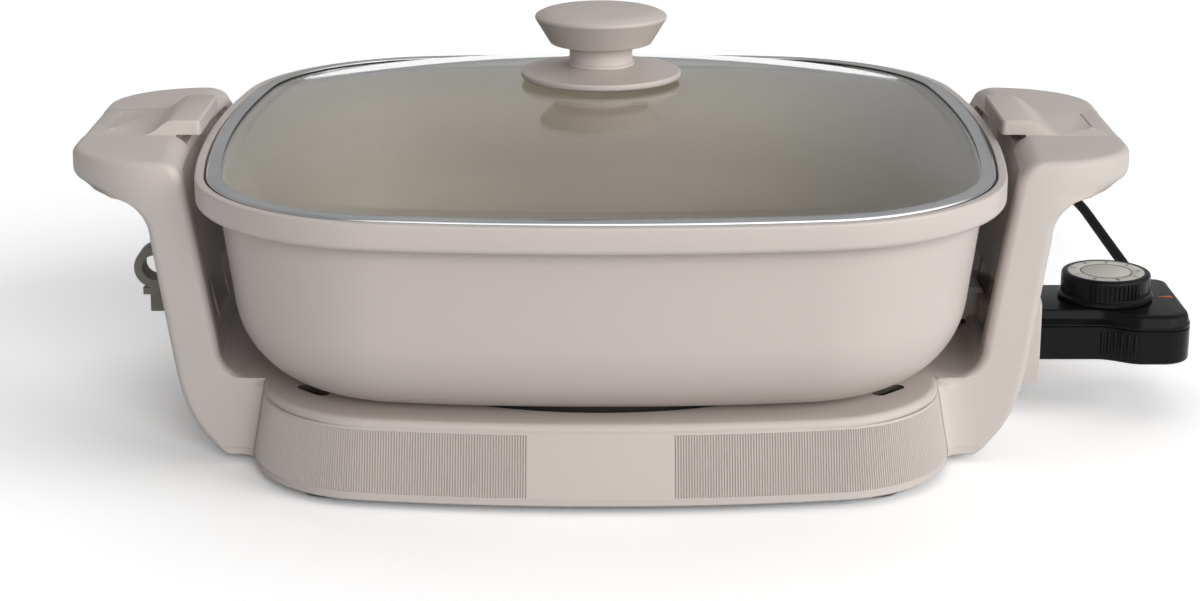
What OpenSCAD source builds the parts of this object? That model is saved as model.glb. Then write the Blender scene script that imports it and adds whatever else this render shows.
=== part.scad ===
// Electric skillet: a square pan under a domed glass lid, set on a flared base
// with two tall side handles and a plug-in heat control on a cord.
// Units are millimetres. The origin is the pan's centre on the worktop, +Z is
// up, +X is towards the heat control and -Y is the front.

/* [Pan] */
// Half width of the pan's rim, measured on the middle of a side
rim_half = 166.3; // [160:0.5:170]
// Height of the rim's top face above the worktop
rim_z = 119; // [112:1:124]
// Radius of the gentle outward curve of each side
side_bow_r = 643; // [560:1:760]
// Corner radius of the rim
rim_corner_r = 88.2; // [70:1:95]
// Height of the rim's turned-down outer band
rim_band_h = 11; // [8:0.5:14]
// Width of the rim's upstanding outer lip
rim_lip_w = 3.8; // [3:0.1:4.5]
// Depth of the ledge that carries the lid, below the rim's top face
lid_ledge_drop = 4; // [3.5:0.1:5]
// How far the rim's outer band stands out from the pan's body under it
rim_step = 9.1; // [7.5:0.1:12]
// Slope of the pan's side wall from the vertical, in degrees
wall_draft = 7.4; // [4:0.2:9]
// Radius of the round between the side wall and the floor
floor_round_r = 38; // [26:1:44]
// Wall thickness of the pan
pan_t = 3; // [2.4:0.1:3.4]

/* [Lid] */
// Play between the lid's steel band and the rim's lip
lid_play = 0.7; // [0.5:0.1:1]
// Width of the lid's steel band, seen from above
band_w = 5.9; // [5:0.1:7]
// Height of the lid's steel band
band_h = 5; // [4.8:0.1:6]
// Sheet thickness of the steel band
band_sheet = 0.8; // [0.5:0.1:1]
// Height of the glass dome above the band
dome_rise = 22; // [14:1:28]
// Thickness of the glass
glass_t = 3; // [2.6:0.1:3.2]

/* [Knob] */
// Radius of the heat shield under the knob
shield_r = 33.8; // [28:0.5:38]
// Thickness of the heat shield at its edge
shield_t = 2.8; // [2:0.1:4]
// Radius of the knob's neck
neck_r = 13.3; // [10:0.5:16]
// Rise of the heat shield from its edge to the neck
shield_rise = 2.4; // [1:0.2:4]
// Height of the neck above the heat shield
neck_h = 9.3; // [7:0.1:14]
// Radius of the grip where it leaves the neck
grip_low_r = 21.3; // [18:0.5:24]
// Radius of the grip at its widest
grip_r = 28.3; // [24:0.1:32]
// Height of the grip's cone
grip_cone_h = 11.5; // [8:0.5:14]
// Height of the grip's domed top
grip_dome_h = 4.4; // [3:0.2:7]

/* [Base] */
// Width of the deck between its round opening and the middle of a side
deck_w = 15; // [14:0.5:20]
// Spread of the ribbed wall from the deck down to the foot
base_flare = 5; // [3:0.5:8]
// Corner radius of the base at its foot
base_corner_r = 56; // [45:1:64]
// Height of the underside of the base above the worktop
base_clear = 3; // [2.4:0.1:4]
// Height of the plain lip round the foot of the base
lip_h = 3; // [2:0.1:4]
// Height of the deck above the worktop
deck_z = 34.5; // [33:0.5:36]
// Round at the edge of the deck
deck_round = 2.6; // [1.5:0.1:4]
// Wall thickness of the base moulding
base_t = 2.4; // [2:0.1:2.8]
// Width of a vent slot in a corner of the deck
slot_w = 6; // [4:0.5:8]
// Length of a vent slot
slot_l = 17; // [12:0.5:22]

/* [Feet] */
// Distance of each foot from the base's edge, along X and along Y
foot_in_x = 40; // [34:1:46]
foot_in_y = 26; // [24:1:34]
// Radius of a rubber foot
foot_r = 8; // [6:0.5:9]
// Height of a rubber foot
foot_h = 3.6; // [3.2:0.1:5]

/* [Handles] */
// Height of the handle's top face
wing_z = 121.8; // [120:0.2:124]
// Reach of the handle's outer edge past the pan's rim
wing_reach = 50.7; // [46:0.1:56]
// Half length of the handle along the front-to-back direction, at its top
wing_half_l = 75; // [70:1:80]
// Thickness of the handle near its outer edge
wing_t = 11.5; // [10:0.5:14]
// Air between the rim and the panel behind it
rim_air = 4.9; // [4:0.1:7]
// Width of the shelf between the deck's edge and the upright's inner face
shelf_w = 11.3; // [10:0.1:14]
// Thickness of the upright, inner face to outer face
post_t = 18.4; // [16:0.2:22]
// Round along the upright's inner edges
post_round_in = 4.5; // [4:0.5:9]
// Round along the upright's outer edges
post_round_out = 11; // [8:0.5:14]
// Round along the handle's top edges
wing_round = 3; // [2:0.5:5]
// Lengthening of the upright towards its foot, per unit of height
post_flare = 0.1; // [0.04:0.01:0.12]

/* [Collar for the heat control] */
// Reach of the collar past the upright's inner face at deck height
collar_reach = 34.1; // [31:0.1:37]
// Half width of the collar
collar_half = 26; // [24.5:0.5:30]
// Height of the collar's underside above the worktop
collar_z0 = 13; // [10:0.5:15]
// Height of the collar's top
collar_z1 = 50; // [47:0.5:54]

/* [Pan locks] */
// Half width of a lock slider along the front-to-back direction
lock_half_w = 26; // [20:1:30]
// Depth of the slider's channel in the handle
lock_depth = 4; // [3:0.2:5]
// Play round a slider
lock_play = 0.3; // [0.3:0.05:0.5]
// Rise of the slider's thumb block above the handle
thumb_rise = 6.4; // [4:0.2:8]
// Travel of a slider towards the pan
lock_travel = 6; // [4:0.5:7]

/* [Heater] */
// Radius of the cast heater plate
plate_r = 118; // [110:1:120]
// Air between the heater plate and the opening in the deck
plate_air = 9; // [6:0.5:11]
// Thickness of the heater plate
plate_t = 10.6; // [10:0.1:11]
// Height of the heater plate's face above the deck
plate_proud = 0.3; // [0.2:0.1:0.5]
// Radius of the element's loop
loop_r = 95; // [80:1:100]
// Radius of the element's tube
element_r = 3.2; // [2.8:0.1:3.3]
// Half distance between the two terminal pins
pin_y = 8; // [7.6:0.1:9]
// Radius of a terminal pin
pin_r = 2.4; // [2:0.1:2.6]

/* [Heat control] */
// Air between the collar and the control's inner end face
ctl_gap = 0.3; // [0.3:0.1:1.5]
// Length of the control beyond the collar
ctl_reach = 64.4; // [60:0.2:72]
// Half width of the control's outer end
ctl_end_half = 31; // [28:0.5:34]
// Half width of the control's neck
ctl_neck_half = 23.6; // [22:0.2:25]
// Height of the control's underside above the worktop
ctl_z0 = 22.6; // [20:0.2:24]
// Height of the joint between the control's two shells
ctl_seam_z = 37.6; // [36:0.2:39]
// Height of the control's shoulder
ctl_z1 = 41.6; // [40:0.2:43]
// Height of the raised pad under the dial
ctl_pad_z = 44.2; // [43.4:0.2:46]
// Distance of the dial's axis from the collar
dial_reach = 31.5; // [28:0.1:34]
// Radius of the dial's grip
dial_r = 19.2; // [17:0.2:20]
// Height of the dial
dial_h = 9; // [7:0.2:12]
// Radius of the dial's stepped foot ring
dial_foot_r = 20.3; // [19.8:0.1:22]
// Radius of the dial's face plate
dial_plate_r = 17.3; // [15:0.1:17.6]
// Number of grip ribs round the dial
dial_ribs = 48; // [24:2:60]
// Radius of the sensor rod
rod_r = 3.2; // [2.8:0.1:3.3]

/* [Storage clip] */
// Outer radius of the ring
clip_r = 9; // [8:0.2:10]
// Radius of the ring's bore
clip_bore_r = 5.5; // [4.5:0.1:6]
// Length of the ring along its axis
clip_l = 12; // [8:0.5:16]
// Reach of the ring's axis past the upright's inner face at deck height
clip_reach = 38.9; // [37:0.1:42]
// Height of the ring's axis
clip_z = 58.9; // [56:0.5:62]

/* [Cord] */
// Radius of the cord
cord_r = 2.5; // [2:0.1:3]

/* [Hidden] */

// Colours
GREIGE = [0.80, 0.76, 0.73];
GREIGE_DARK = [0.70, 0.66, 0.63];
STEEL = [0.62, 0.64, 0.67];
DARK_STEEL = [0.35, 0.35, 0.37];
CAST = [0.55, 0.56, 0.58];
BRASS = [0.75, 0.66, 0.40];
ORANGE = [0.85, 0.25, 0.08];
SILVER = [0.76, 0.74, 0.70];
BLACK = [0.05, 0.05, 0.055];
RUBBER = [0.09, 0.09, 0.09];
CERAMIC = [0.88, 0.86, 0.80];
GLASS = [0.75, 0.85, 0.85, 0.35];

// General fits: FIT is the air left round a loosely fitted piece, SEAM the
// line between two mouldings, RUN the radial air of a turning or sliding fit.
FIT = 0.2;
SEAM = 0.3;
RUN = 0.06;

// Pan
pan_floor_z = deck_z + plate_proud;
lid_seat_z = rim_z - lid_ledge_drop;
rim_inset = rim_half - rim_lip_w;
body_half = rim_half - rim_step;
body_top_z = rim_z - rim_band_h;

// Samples along each side and round each corner of a bowed square
SIDE_N = 5;
CORNER_N = 9;

// Heater
element_z = pan_floor_z - plate_t + element_r + 0.2;
socket_z = element_z;

// Base
deck_hole_r = plate_r + plate_air;
base_top_half = deck_hole_r + deck_w;
base_half = base_top_half + base_flare;
foot_x = base_half - foot_in_x;
foot_y = base_half - foot_in_y;

// Handles. The upright leans from the shelf beside the deck out to the rim.
liner_recess = 5.5;
post_in = base_top_half + shelf_w;
post_k = (rim_half + rim_air - liner_recess - post_in) / (body_top_z - deck_z);
wing_x = rim_half + wing_reach;
arm_foot_z = base_clear;

// Heat control and storage clip
collar_x = post_in + collar_reach;
ctl_x1 = collar_x + ctl_reach;
dial_x = collar_x + dial_reach;
clip_x = post_in + clip_reach;

// ---------------------------------------------------------------- helpers

// Point of a bowed square with rounded corners: half width a on the middle of
// a side, side arcs of radius rs, corner arcs of radius rc.
function bowed_square(a, rs, rc) =
    let (d = a - rs, k = rs - rc, c = (d + sqrt(2 * k * k - d * d)) / 2,
         t = atan2(c, c - d))
    [for (q = [0:3]) for (i = [0:SIDE_N + CORNER_N - 1])
        let (s = i < SIDE_N ? -t + 2 * t * i / SIDE_N
                            : t + (90 - 2 * t) * (i - SIDE_N) / CORNER_N,
             x = i < SIDE_N ? d + rs * cos(s) : c + rc * cos(s),
             y = i < SIDE_N ? rs * sin(s) : c + rc * sin(s),
             b = 90 * q)
        [x * cos(b) - y * sin(b), x * sin(b) + y * cos(b)]];

// The same outline moved outwards by o, and lifted to the height z
function ring(a, rs, rc, z, o = 0) =
    [for (p = bowed_square(a + o, rs + o, max(rc + o, 2))) [p[0], p[1], z]];

function flatten(l) = [for (a = l) for (b = a) b];

// Solid through a stack of rings that all have as many points. A closed
// stack joins its last ring to its first, as in a frame or a tube wall.
module loft(rings, closed = false) {
    n = len(rings[0]);
    m = len(rings);
    last = closed ? m - 1 : m - 2;
    sides = [for (i = [0:last]) for (j = [0:n - 1])
        let (a = i * n + j, b = i * n + (j + 1) % n,
             c = ((i + 1) % m) * n + (j + 1) % n, d = ((i + 1) % m) * n + j)
        each [[a, d, c], [a, c, b]]];
    caps = closed ? [] : [[for (j = [0:n - 1]) j], [for (j = [n - 1:-1:0]) (m - 1) * n + j]];
    polyhedron(points = flatten(rings), faces = concat(sides, caps), convexity = 8);
}

// Cylinder along X from x0 to x1
module rod_x(r, x0, x1, y = 0, z = 0) {
    translate([x0, y, z]) rotate([0, 90, 0]) cylinder(r = r, h = x1 - x0, $fn = 48);
}

// Box from a low corner to a high corner
module block(lo, hi) {
    translate(lo) cube(hi - lo);
}

// Copies of the children on both sides of the plane Y = 0
module both_y() {
    children();
    mirror([0, 1, 0]) children();
}

// Copies of the children at the four feet
module at_feet() {
    for (sx = [-1, 1], sy = [-1, 1]) translate([sx * foot_x, sy * foot_y, 0]) children();
}

// ------------------------------------------------------------------- base

// Bow and corner of the base, the same at every height
base_bow_r = 620;
band_z0 = base_clear + lip_h;
band_z1 = deck_z - deck_round;
deck_under_z = deck_z - base_t;
cover_z = base_clear;
cover_t = 2;
post_r = 4;
screw_r = 1.8;

// Half width of the base's ribbed wall at the height z
function wall_half(z) =
    base_half + (base_top_half - base_half) * (z - band_z0) / (band_z1 - band_z0);

// Half width of the base, lip and rounded deck edge included
function base_half_at(z) =
    z > band_z1 ? base_top_half - deck_round
                  + sqrt(max(0, pow(deck_round, 2) - pow(min(z, deck_z) - band_z1, 2)))
                : wall_half(max(z, band_z0));

// Distance of the base's side from the centre at the depth y and height z
function base_side_x(y, z) =
    base_half_at(z) - base_bow_r + sqrt(pow(base_bow_r, 2) - y * y);

function base_ring(half, z, o = 0) = ring(half, base_bow_r, base_corner_r, z, o);

module base_skin() {
    lip_step = 0.5;
    deck_in = deck_hole_r - 22;
    loft(concat(
        [base_ring(base_half, base_clear), base_ring(base_half, band_z0),
         base_ring(wall_half(band_z0) - lip_step, band_z0 + 0.3)],
        [for (a = [0, 30, 60, 90])
            base_ring(base_top_half, band_z1 + deck_round * sin(a), -deck_round * (1 - cos(a)))],
        [base_ring(deck_in, deck_z), base_ring(deck_in, deck_under_z),
         base_ring(base_top_half, deck_under_z, -base_t),
         base_ring(base_half, base_clear, -base_t)]), closed = true);
}

// Ring-shaped vent slot across a corner of the deck
module corner_slot() {
    slot_x = base_top_half - 27.5;
    slot_y = base_top_half - 43;
    run = (slot_l - slot_w) / 2;
    translate([slot_x, slot_y, deck_under_z - 1]) rotate([0, 0, -45])
        linear_extrude(base_t + 2) {
            square([2 * run, slot_w], center = true);
            for (s = [-1, 1]) translate([s * run, 0]) circle(slot_w / 2, $fn = 40);
        }
}

module base_shell() {
    color(GREIGE) difference() {
        union() {
            base_skin();
            at_feet() translate([0, 0, cover_z + cover_t])
                cylinder(r = post_r, h = deck_under_z - cover_z - cover_t + 0.2, $fn = 40);
        }
        translate([0, 0, deck_under_z - 1]) cylinder(r = deck_hole_r, h = base_t + 2, $fn = 180);
        for (mx = [0, 1], my = [0, 1]) mirror([mx, 0, 0]) mirror([0, my, 0]) corner_slot();
        at_feet() cylinder(r = screw_r + FIT / 2, h = foot_screw_top, $fn = 32);
        block([socket_x0 - 4, -socket_rear_half - FIT, socket_z0 - FIT],
              [post_in, socket_rear_half + FIT, socket_rear_z1 + FIT]);
        at_arm_screws() rod_x(screw_r + 0.4, -14, 6);
    }
}

// Half width of the cavity in the base at the height z, and the radii there
function cavity_half(z) =
    base_half - base_t - base_flare * (z - base_clear) / (deck_under_z - base_clear);
cavity_bow_r = base_bow_r - base_t;
cavity_corner_r = base_corner_r - base_t;

// The plate that closes the base from below, with a boss over each foot and a
// pillar under each of the heater's screws
pillar_r = 5.5;
heater_screw_ring = 62;
foot_boss_r = foot_r + 3;
foot_boss_h = 1.6;
foot_screw_top = deck_under_z - 6;

module at_heater_screws() {
    for (a = [90, 210, 330]) rotate([0, 0, a]) translate([heater_screw_ring, 0, 0]) children();
}

module bottom_cover() {
    vent_r = 2;
    color(GREIGE_DARK) difference() {
        union() {
            translate([0, 0, cover_z]) linear_extrude(cover_t)
                polygon(bowed_square(cavity_half(cover_z + cover_t) - FIT, cavity_bow_r - FIT,
                                     cavity_corner_r - FIT));
            at_feet() translate([0, 0, cover_z - foot_boss_h])
                cylinder(r = foot_boss_r, h = foot_boss_h + 0.1, $fn = 60);
            at_heater_screws() translate([0, 0, cover_z])
                cylinder(r = pillar_r, h = dish_floor_z - cover_z, $fn = 48);
        }
        at_feet() translate([0, 0, cover_z - foot_boss_h - 1])
            cylinder(r = foot_r + FIT / 2, h = foot_boss_h + 1 + foot_h - cover_z + foot_boss_h, $fn = 60);
        at_feet() cylinder(r = screw_r + FIT, h = 20, $fn = 32);
        at_heater_screws() {
            translate([0, 0, -1]) cylinder(r = heater_head_r + FIT, h = 1 + heater_head_z1, $fn = 40);
            cylinder(r = screw_r + FIT, h = 40, $fn = 32);
        }
        for (a = [15:30:345], r = [24, 34, 44])
            rotate([0, 0, a]) translate([r, 0, 0]) cylinder(r = vent_r, h = 20, $fn = 24);
    }
}

module rubber_feet() {
    head_r = 3.6;
    color(RUBBER) at_feet() difference() {
        cylinder(r = foot_r, h = foot_h, $fn = 60);
        translate([0, 0, -1]) cylinder(r = head_r + FIT, h = 1 + foot_h - 1.2, $fn = 40);
        cylinder(r = screw_r + FIT, h = 20, $fn = 32);
    }
}

module cover_screws() {
    head_r = 3.4;
    head_z = foot_h - 1.2 - 1.8;
    color(STEEL) at_feet() {
        translate([0, 0, head_z]) cylinder(r = head_r, h = 1.8, $fn = 40);
        translate([0, 0, head_z]) cylinder(r = screw_r, h = foot_screw_top - 1 - head_z, $fn = 32);
    }
}

// ----------------------------------------------------------------- heater

plate_under_z = pan_floor_z - plate_t;
dish_floor_z = 10;
dish_t = 0.8;
dish_rim_r = deck_hole_r + 6.5;
groove_play = 0.15;
heater_head_r = 3.4;
heater_head_z1 = cover_z + 3;
heater_screw_top = plate_under_z + 5.5;
well_depth = 16;
cold_x = base_top_half - 3;

module reflector_dish() {
    wall_r1 = deck_hole_r - 1;
    wall_r0 = plate_r + 3;
    low = dish_floor_z;
    high = deck_under_z;
    color(STEEL) difference() {
        rotate_extrude($fn = 180) polygon([[0, low], [wall_r0 - 6, low], [wall_r0, low + 5],
            [wall_r1, high - dish_t], [dish_rim_r, high - dish_t], [dish_rim_r, high],
            [wall_r1 - dish_t, high], [wall_r0 - dish_t, low + 5.4], [wall_r0 - 6.4, low + dish_t],
            [0, low + dish_t]]);
        at_heater_screws() cylinder(r = screw_r + FIT, h = 40, $fn = 32);
        block([plate_r - 4, -socket_rear_half - 1, socket_z - 6],
              [dish_rim_r + 1, socket_rear_half + 1, high + 1]);
    }
}

// Three-armed spacer that carries the plate clear of the dish
module plate_bracket() {
    leg_r = 5;
    strip_t = 1.6;
    low = dish_floor_z + dish_t;
    color(STEEL) difference() {
        union() {
            at_heater_screws() translate([0, 0, low])
                cylinder(r = leg_r, h = plate_under_z - low, $fn = 48);
            translate([0, 0, low]) cylinder(r = 18, h = strip_t, $fn = 80);
            for (a = [90, 210, 330]) rotate([0, 0, a])
                block([0, -6, low], [heater_screw_ring, 6, low + strip_t]);
        }
        at_heater_screws() cylinder(r = screw_r + FIT, h = 40, $fn = 32);
    }
}

module bracket_screws() {
    head_h = 2.2;
    color(STEEL) at_heater_screws() {
        translate([0, 0, heater_head_z1 - head_h])
            cylinder(r = heater_head_r, h = head_h, $fn = 40);
        translate([0, 0, heater_head_z1 - head_h])
            cylinder(r = screw_r, h = heater_screw_top - 0.5 - heater_head_z1 + head_h, $fn = 32);
    }
}

module heater_plate() {
    r = element_r + groove_play;
    edge = 1.2;
    color(CAST) difference() {
        rotate_extrude($fn = 180) polygon([[0, plate_under_z], [plate_r - edge, plate_under_z],
            [plate_r, plate_under_z + edge], [plate_r, pan_floor_z - edge],
            [plate_r - edge, pan_floor_z], [0, pan_floor_z]]);
        rotate_extrude($fn = 180) translate([loop_r, 0]) {
            translate([0, element_z]) circle(r, $fn = 40);
            translate([-r, plate_under_z - 1]) square([2 * r, element_z - plate_under_z + 1]);
        }
        both_y() {
            rod_x(r, loop_r, plate_r + 2, pin_y, element_z);
            block([loop_r, pin_y - r, plate_under_z - 1], [plate_r + 2, pin_y + r, element_z]);
        }
        rod_x(rod_r + RUN, plate_r - well_depth, plate_r + 2, 0, socket_z);
        at_heater_screws() cylinder(r = screw_r + FIT / 2, h = heater_screw_top, $fn = 32);
    }
}

// Looped tube with its two cold legs. The loop stays open between the legs.
module heating_element() {
    leg_x0 = sqrt(loop_r * loop_r - pin_y * pin_y);
    leg_r = element_r - 0.2;
    open_half = pin_y - element_r;
    color(DARK_STEEL) {
        difference() {
            rotate_extrude($fn = 120) translate([loop_r, element_z]) circle(element_r, $fn = 40);
            block([loop_r - 2 * element_r, -open_half, element_z - 2 * element_r],
                  [loop_r + 2 * element_r, open_half, element_z + 2 * element_r]);
        }
        both_y() rod_x(leg_r, leg_x0, cold_x, pin_y, element_z);
    }
}

module terminal_pins() {
    color(STEEL) both_y() rod_x(pin_r, cold_x, pin_tip_x, pin_y, socket_z);
}

// ----------------------------------------------------- socket in the handle

// The socket is a moulded block that passes through the base's side into the
// right handle. Its mouth takes the nose of the heat control.
socket_x0 = cold_x;
socket_x1 = collar_x - 6;
socket_step_x = base_half + 2;
socket_half = 18.5;
socket_rear_half = 14.5;
socket_z0 = 20;
socket_z1 = 38;
socket_rear_z1 = deck_under_z - 0.4;
mouth_x = post_in + 6.7;
mouth_half = 15.8;
mouth_half_h = 5.8;
mouth_z0 = socket_z - mouth_half_h;
mouth_z1 = socket_z + mouth_half_h;
pin_tip_x = mouth_x + 15;
bushing_x0 = mouth_x - 10;
bushing_x1 = mouth_x - 3;
bushing_r = 4;
rod_hole_r = rod_r + 0.3;

module socket_block(o = 0) {
    block([socket_step_x, -socket_half - o, socket_z0 - o], [socket_x1, socket_half + o, socket_z1 + o]);
    block([socket_x0, -socket_rear_half - o, socket_z0 - o],
          [socket_step_x + 1, socket_rear_half + o, socket_rear_z1 + o]);
}

module probe_socket() {
    color(BLACK) difference() {
        socket_block();
        block([mouth_x, -mouth_half, mouth_z0], [socket_x1 + 1, mouth_half, mouth_z1]);
        rod_x(rod_hole_r, socket_x0 - 1, mouth_x + 1, 0, socket_z);
        both_y() {
            rod_x(pin_r + FIT / 2, socket_x0 - 1, mouth_x + 1, pin_y, socket_z);
            rod_x(bushing_r + FIT / 2, bushing_x0, mouth_x + 1, pin_y, socket_z);
        }
    }
}

module pin_bushings() {
    color(CERAMIC) both_y() difference() {
        rod_x(bushing_r, bushing_x0, bushing_x1, pin_y, socket_z);
        rod_x(pin_r + FIT / 2, bushing_x0 - 1, bushing_x1 + 1, pin_y, socket_z);
    }
}

// Upstand over the socket that keeps the pan off the terminals
guard_x0 = post_in - 1.3;
guard_x1 = post_in + 11.7;
guard_half = 14;

module probe_guard() {
    low = socket_z1 + FIT;
    high = collar_z1 + 2.5;
    wall = 1.6;
    color(SILVER) rotate([90, 0, 0]) difference() {
        linear_extrude(2 * guard_half, center = true)
            polygon([[guard_x0, low], [guard_x1, low], [guard_x1, high - 4], [guard_x1 - 2, high],
                     [guard_x0 + 4, high], [guard_x0, high - 6]]);
        linear_extrude(2 * (guard_half - wall), center = true)
            polygon([[guard_x0 - 1, low + wall], [guard_x1 - wall, low + wall],
                     [guard_x1 - wall, high - 5], [guard_x1 - 3, high - wall],
                     [guard_x0 - 1, high - wall]]);
    }
}

// ---------------------------------------------------------------- handles

wing_under_r = 16;
wing_under_z = wing_z - wing_t - 4;
tip_slope = 4;
tip_r = 3.5;
foot_curve_h = 45;
foot_curve_in = 13.4;
shelf_r = 12;
inner_top_r = 8;
wing_corner_x = 42;
wing_corner_y = 36;
foot_flare = 4;
foot_flare_l = 14;
seam_lip = 0.5;
pocket_half = 64;
pocket_d = 10;
pocket_z0 = deck_z + 5.5;
pocket_z1 = wing_under_z + 9.2;
liner_z0 = deck_z + 28.5;

// Lines of the upright's inner and outer faces
function post_in_x(z) = post_in + (z - deck_z) * post_k;
function post_out_x(z) = post_in_x(z) + post_t;

// Half length of the upright at the height z
function arm_half(z) = wing_half_l + (wing_z - z) * post_flare;

// Inner face of the handle, above the deck
function arm_in_x(z) =
    let (low = max(0, deck_z + shelf_r - z), high = max(0, z - wing_z + inner_top_r))
    post_in_x(max(z, deck_z + shelf_r)) - shelf_r + sqrt(max(0, shelf_r * shelf_r - low * low))
    + inner_top_r - sqrt(max(0, inner_top_r * inner_top_r - high * high));

// Outer face of the upright, with its curve in towards the foot
function arm_out_x(z) =
    post_out_x(z) - foot_curve_in * pow(max(0, arm_foot_z + foot_curve_h - z) / foot_curve_h, 3.6);

// Bulge of the inner face at the depth y, so that it follows the pan's side
function arm_bulge(y) =
    sqrt(pow(base_bow_r, 2) - y * y) - sqrt(pow(base_bow_r, 2) - pow(wing_half_l, 2));

// One level of a handle: height z, outer face at xo, all edges drawn in by o.
// Below the deck the inner edge follows the base's side and the front corner
// flares out to meet it.
function arm_ring(z, xo, o = 0) =
    let (below = z <= deck_z,
         yf = arm_half(z) - o,
         mix = min(1, max(0, (deck_z - z) / deck_round)),
         flare = mix * foot_flare - (1 - mix) * post_round_in,
         y0 = yf + flare,
         xi = below ? base_side_x(y0, z) + SEAM : arm_in_x(z),
         xe = below ? xi : xi + arm_bulge(y0),
         run0 = mix * foot_flare_l + (1 - mix) * post_round_in,
         rx0 = max(post_round_out, xo - (wing_x - wing_corner_x)),
         squeeze = min(1, (xo - xe - 0.5) / (run0 + rx0)),
         run = run0 * squeeze,
         rx = rx0 * squeeze,
         ry = max(post_round_out, rx * wing_corner_y / wing_corner_x),
         half = concat(
            [for (i = [0:3]) let (y = y0 * i / 4)
                [below ? base_side_x(y, z) + SEAM : xi + arm_bulge(y), -y]],
            [for (a = [0:18:90]) [xe + run * (1 - cos(a)), -(yf + flare * (1 - sin(a)))]],
            [for (a = [-90:15:0]) [xo - rx + rx * cos(a), -(yf - ry) + ry * sin(a)]]),
         n = len(half))
    concat([for (p = half) [p[0], p[1], z]],
           [for (i = [n - 1:-1:1]) [half[i][0], -half[i][1], z]]);

// Levels of the handle from its foot to its top: [z, outer face, edge round]
function arm_levels() = concat(
    [[arm_foot_z, arm_out_x(arm_foot_z), -seam_lip],
     [arm_foot_z + lip_h, arm_out_x(arm_foot_z + lip_h), -seam_lip],
     [arm_foot_z + lip_h + 0.3, arm_out_x(arm_foot_z + lip_h), 0]],
    [for (z = [arm_foot_z + 7:5:band_z1 - 2]) [z, arm_out_x(z), 0]],
    [for (z = [band_z1, deck_z - 1.3, deck_z - 0.4, deck_z, deck_z + 0.2, deck_z + 1.2,
               deck_z + 3.5, deck_z + 7, deck_z + shelf_r, deck_z + 26, wing_under_z - wing_under_r])
        [z, arm_out_x(z), 0]],
    [for (a = [160:-20:100]) [wing_under_z - wing_under_r + wing_under_r * sin(a),
        post_out_x(wing_under_z - wing_under_r) + wing_under_r * (1 + cos(a)) , 0]],
    [[wing_under_z, post_out_x(wing_under_z - wing_under_r) + wing_under_r, 0],
     [wing_under_z + tip_slope * 0.6, wing_x - tip_r - 4, 0]],
    [for (a = [-60:30:0]) [wing_under_z + tip_slope + tip_r * (1 + sin(a)),
        wing_x - tip_r * (1 - cos(a)), 0]],
    [for (a = [0:22.5:90]) [wing_z - wing_round * (1 - sin(a)),
        wing_x - wing_round * (1 - cos(a)), wing_round * (1 - cos(a))]]);

module arm_skin() {
    loft([for (l = arm_levels()) arm_ring(l[0], l[1], l[2])]);
}

// Slanted slab that follows the upright's inner face, from depth d0 to d1
module post_slab(z0, z1, d0, d1, half) {
    rotate([90, 0, 0]) linear_extrude(2 * half, center = true)
        polygon([[post_in_x(z0) + d0, z0], [post_in_x(z0) + d1, z0],
                 [post_in_x(z1) + d1, z1], [post_in_x(z1) + d0, z1]]);
}

// Curved stiffening ribs in the lower part of the upright's pocket
module pocket_ribs() {
    rib_t = 2;
    rib_pitch = pocket_half / 2;
    rib_r = 24;
    root = pocket_d + 0.5;
    tip = liner_recess + 0.5;
    low = pocket_z0 - 1;
    x0 = post_in_x(low);
    x1 = post_in_x(liner_z0);
    for (k = [-1.5:1.5]) translate([0, k * rib_pitch, 0]) rotate([90, 0, 0])
        linear_extrude(rib_t, center = true) difference() {
            polygon([[x0 + tip, low], [x0 + root, low], [x1 + root, liner_z0 - FIT],
                     [x1 + root - 1.5, liner_z0 - FIT]]);
            translate([x0 + tip - rib_r + 2.6, liner_z0 + 2]) circle(rib_r, $fn = 120);
        }
}

arm_screw_y = 50;
arm_screw_z = 18;
arm_screw_l = 11;

// Copies of the children at the screws that tie a handle to the base
module at_arm_screws() {
    for (sx = [0, 1], y = [-arm_screw_y, arm_screw_y]) mirror([sx, 0, 0])
        translate([base_side_x(arm_screw_y, arm_screw_z), y, arm_screw_z]) children();
}

module arm_shell() {
    difference() {
        arm_skin();
        difference() {
            post_slab(pocket_z0, pocket_z1, -6, pocket_d, pocket_half);
            pocket_ribs();
        }
        lock_channel();
        at_arm_screws() rod_x(screw_r + FIT / 2, -2, arm_screw_l + 1);
    }
}

module arm_left() {
    color(GREIGE) mirror([1, 0, 0]) difference() {
        arm_shell();
        at_clip_screws() rod_x(clip_screw_r + FIT / 2, -clip_screw_l - 1, 4);
    }
}

// The right handle also carries the collar that the heat control plugs into
module arm_right() {
    round_r = 4;
    color(GREIGE) difference() {
        union() {
            arm_shell();
            rotate([0, 90, 0]) translate([0, 0, post_in + 8]) linear_extrude(collar_x - post_in - 8)
                union() {
                    translate([-collar_z1 + round_r, -collar_half])
                        square([collar_z1 - collar_z0 - round_r, 2 * collar_half]);
                    translate([-collar_z1, -collar_half + round_r])
                        square([round_r + 1, 2 * (collar_half - round_r)]);
                    for (s = [-1, 1]) translate([-collar_z1 + round_r, s * (collar_half - round_r)])
                        circle(round_r, $fn = 48);
                }
        }
        socket_block(FIT);
        block([post_in - 4, -guard_half - SEAM, socket_z1 - 1],
              [guard_x1 + SEAM, guard_half + SEAM, collar_z1 + 1]);
        block([mouth_x, -mouth_half, mouth_z0], [collar_x + 1, mouth_half, mouth_z1]);
    }
}

module liner() {
    post_slab(liner_z0, pocket_z1 - FIT, liner_recess, pocket_d, pocket_half - FIT);
}

module liner_left() {
    color(GREIGE_DARK) mirror([1, 0, 0]) liner();
}

module liner_right() {
    color(GREIGE_DARK) liner();
}

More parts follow.
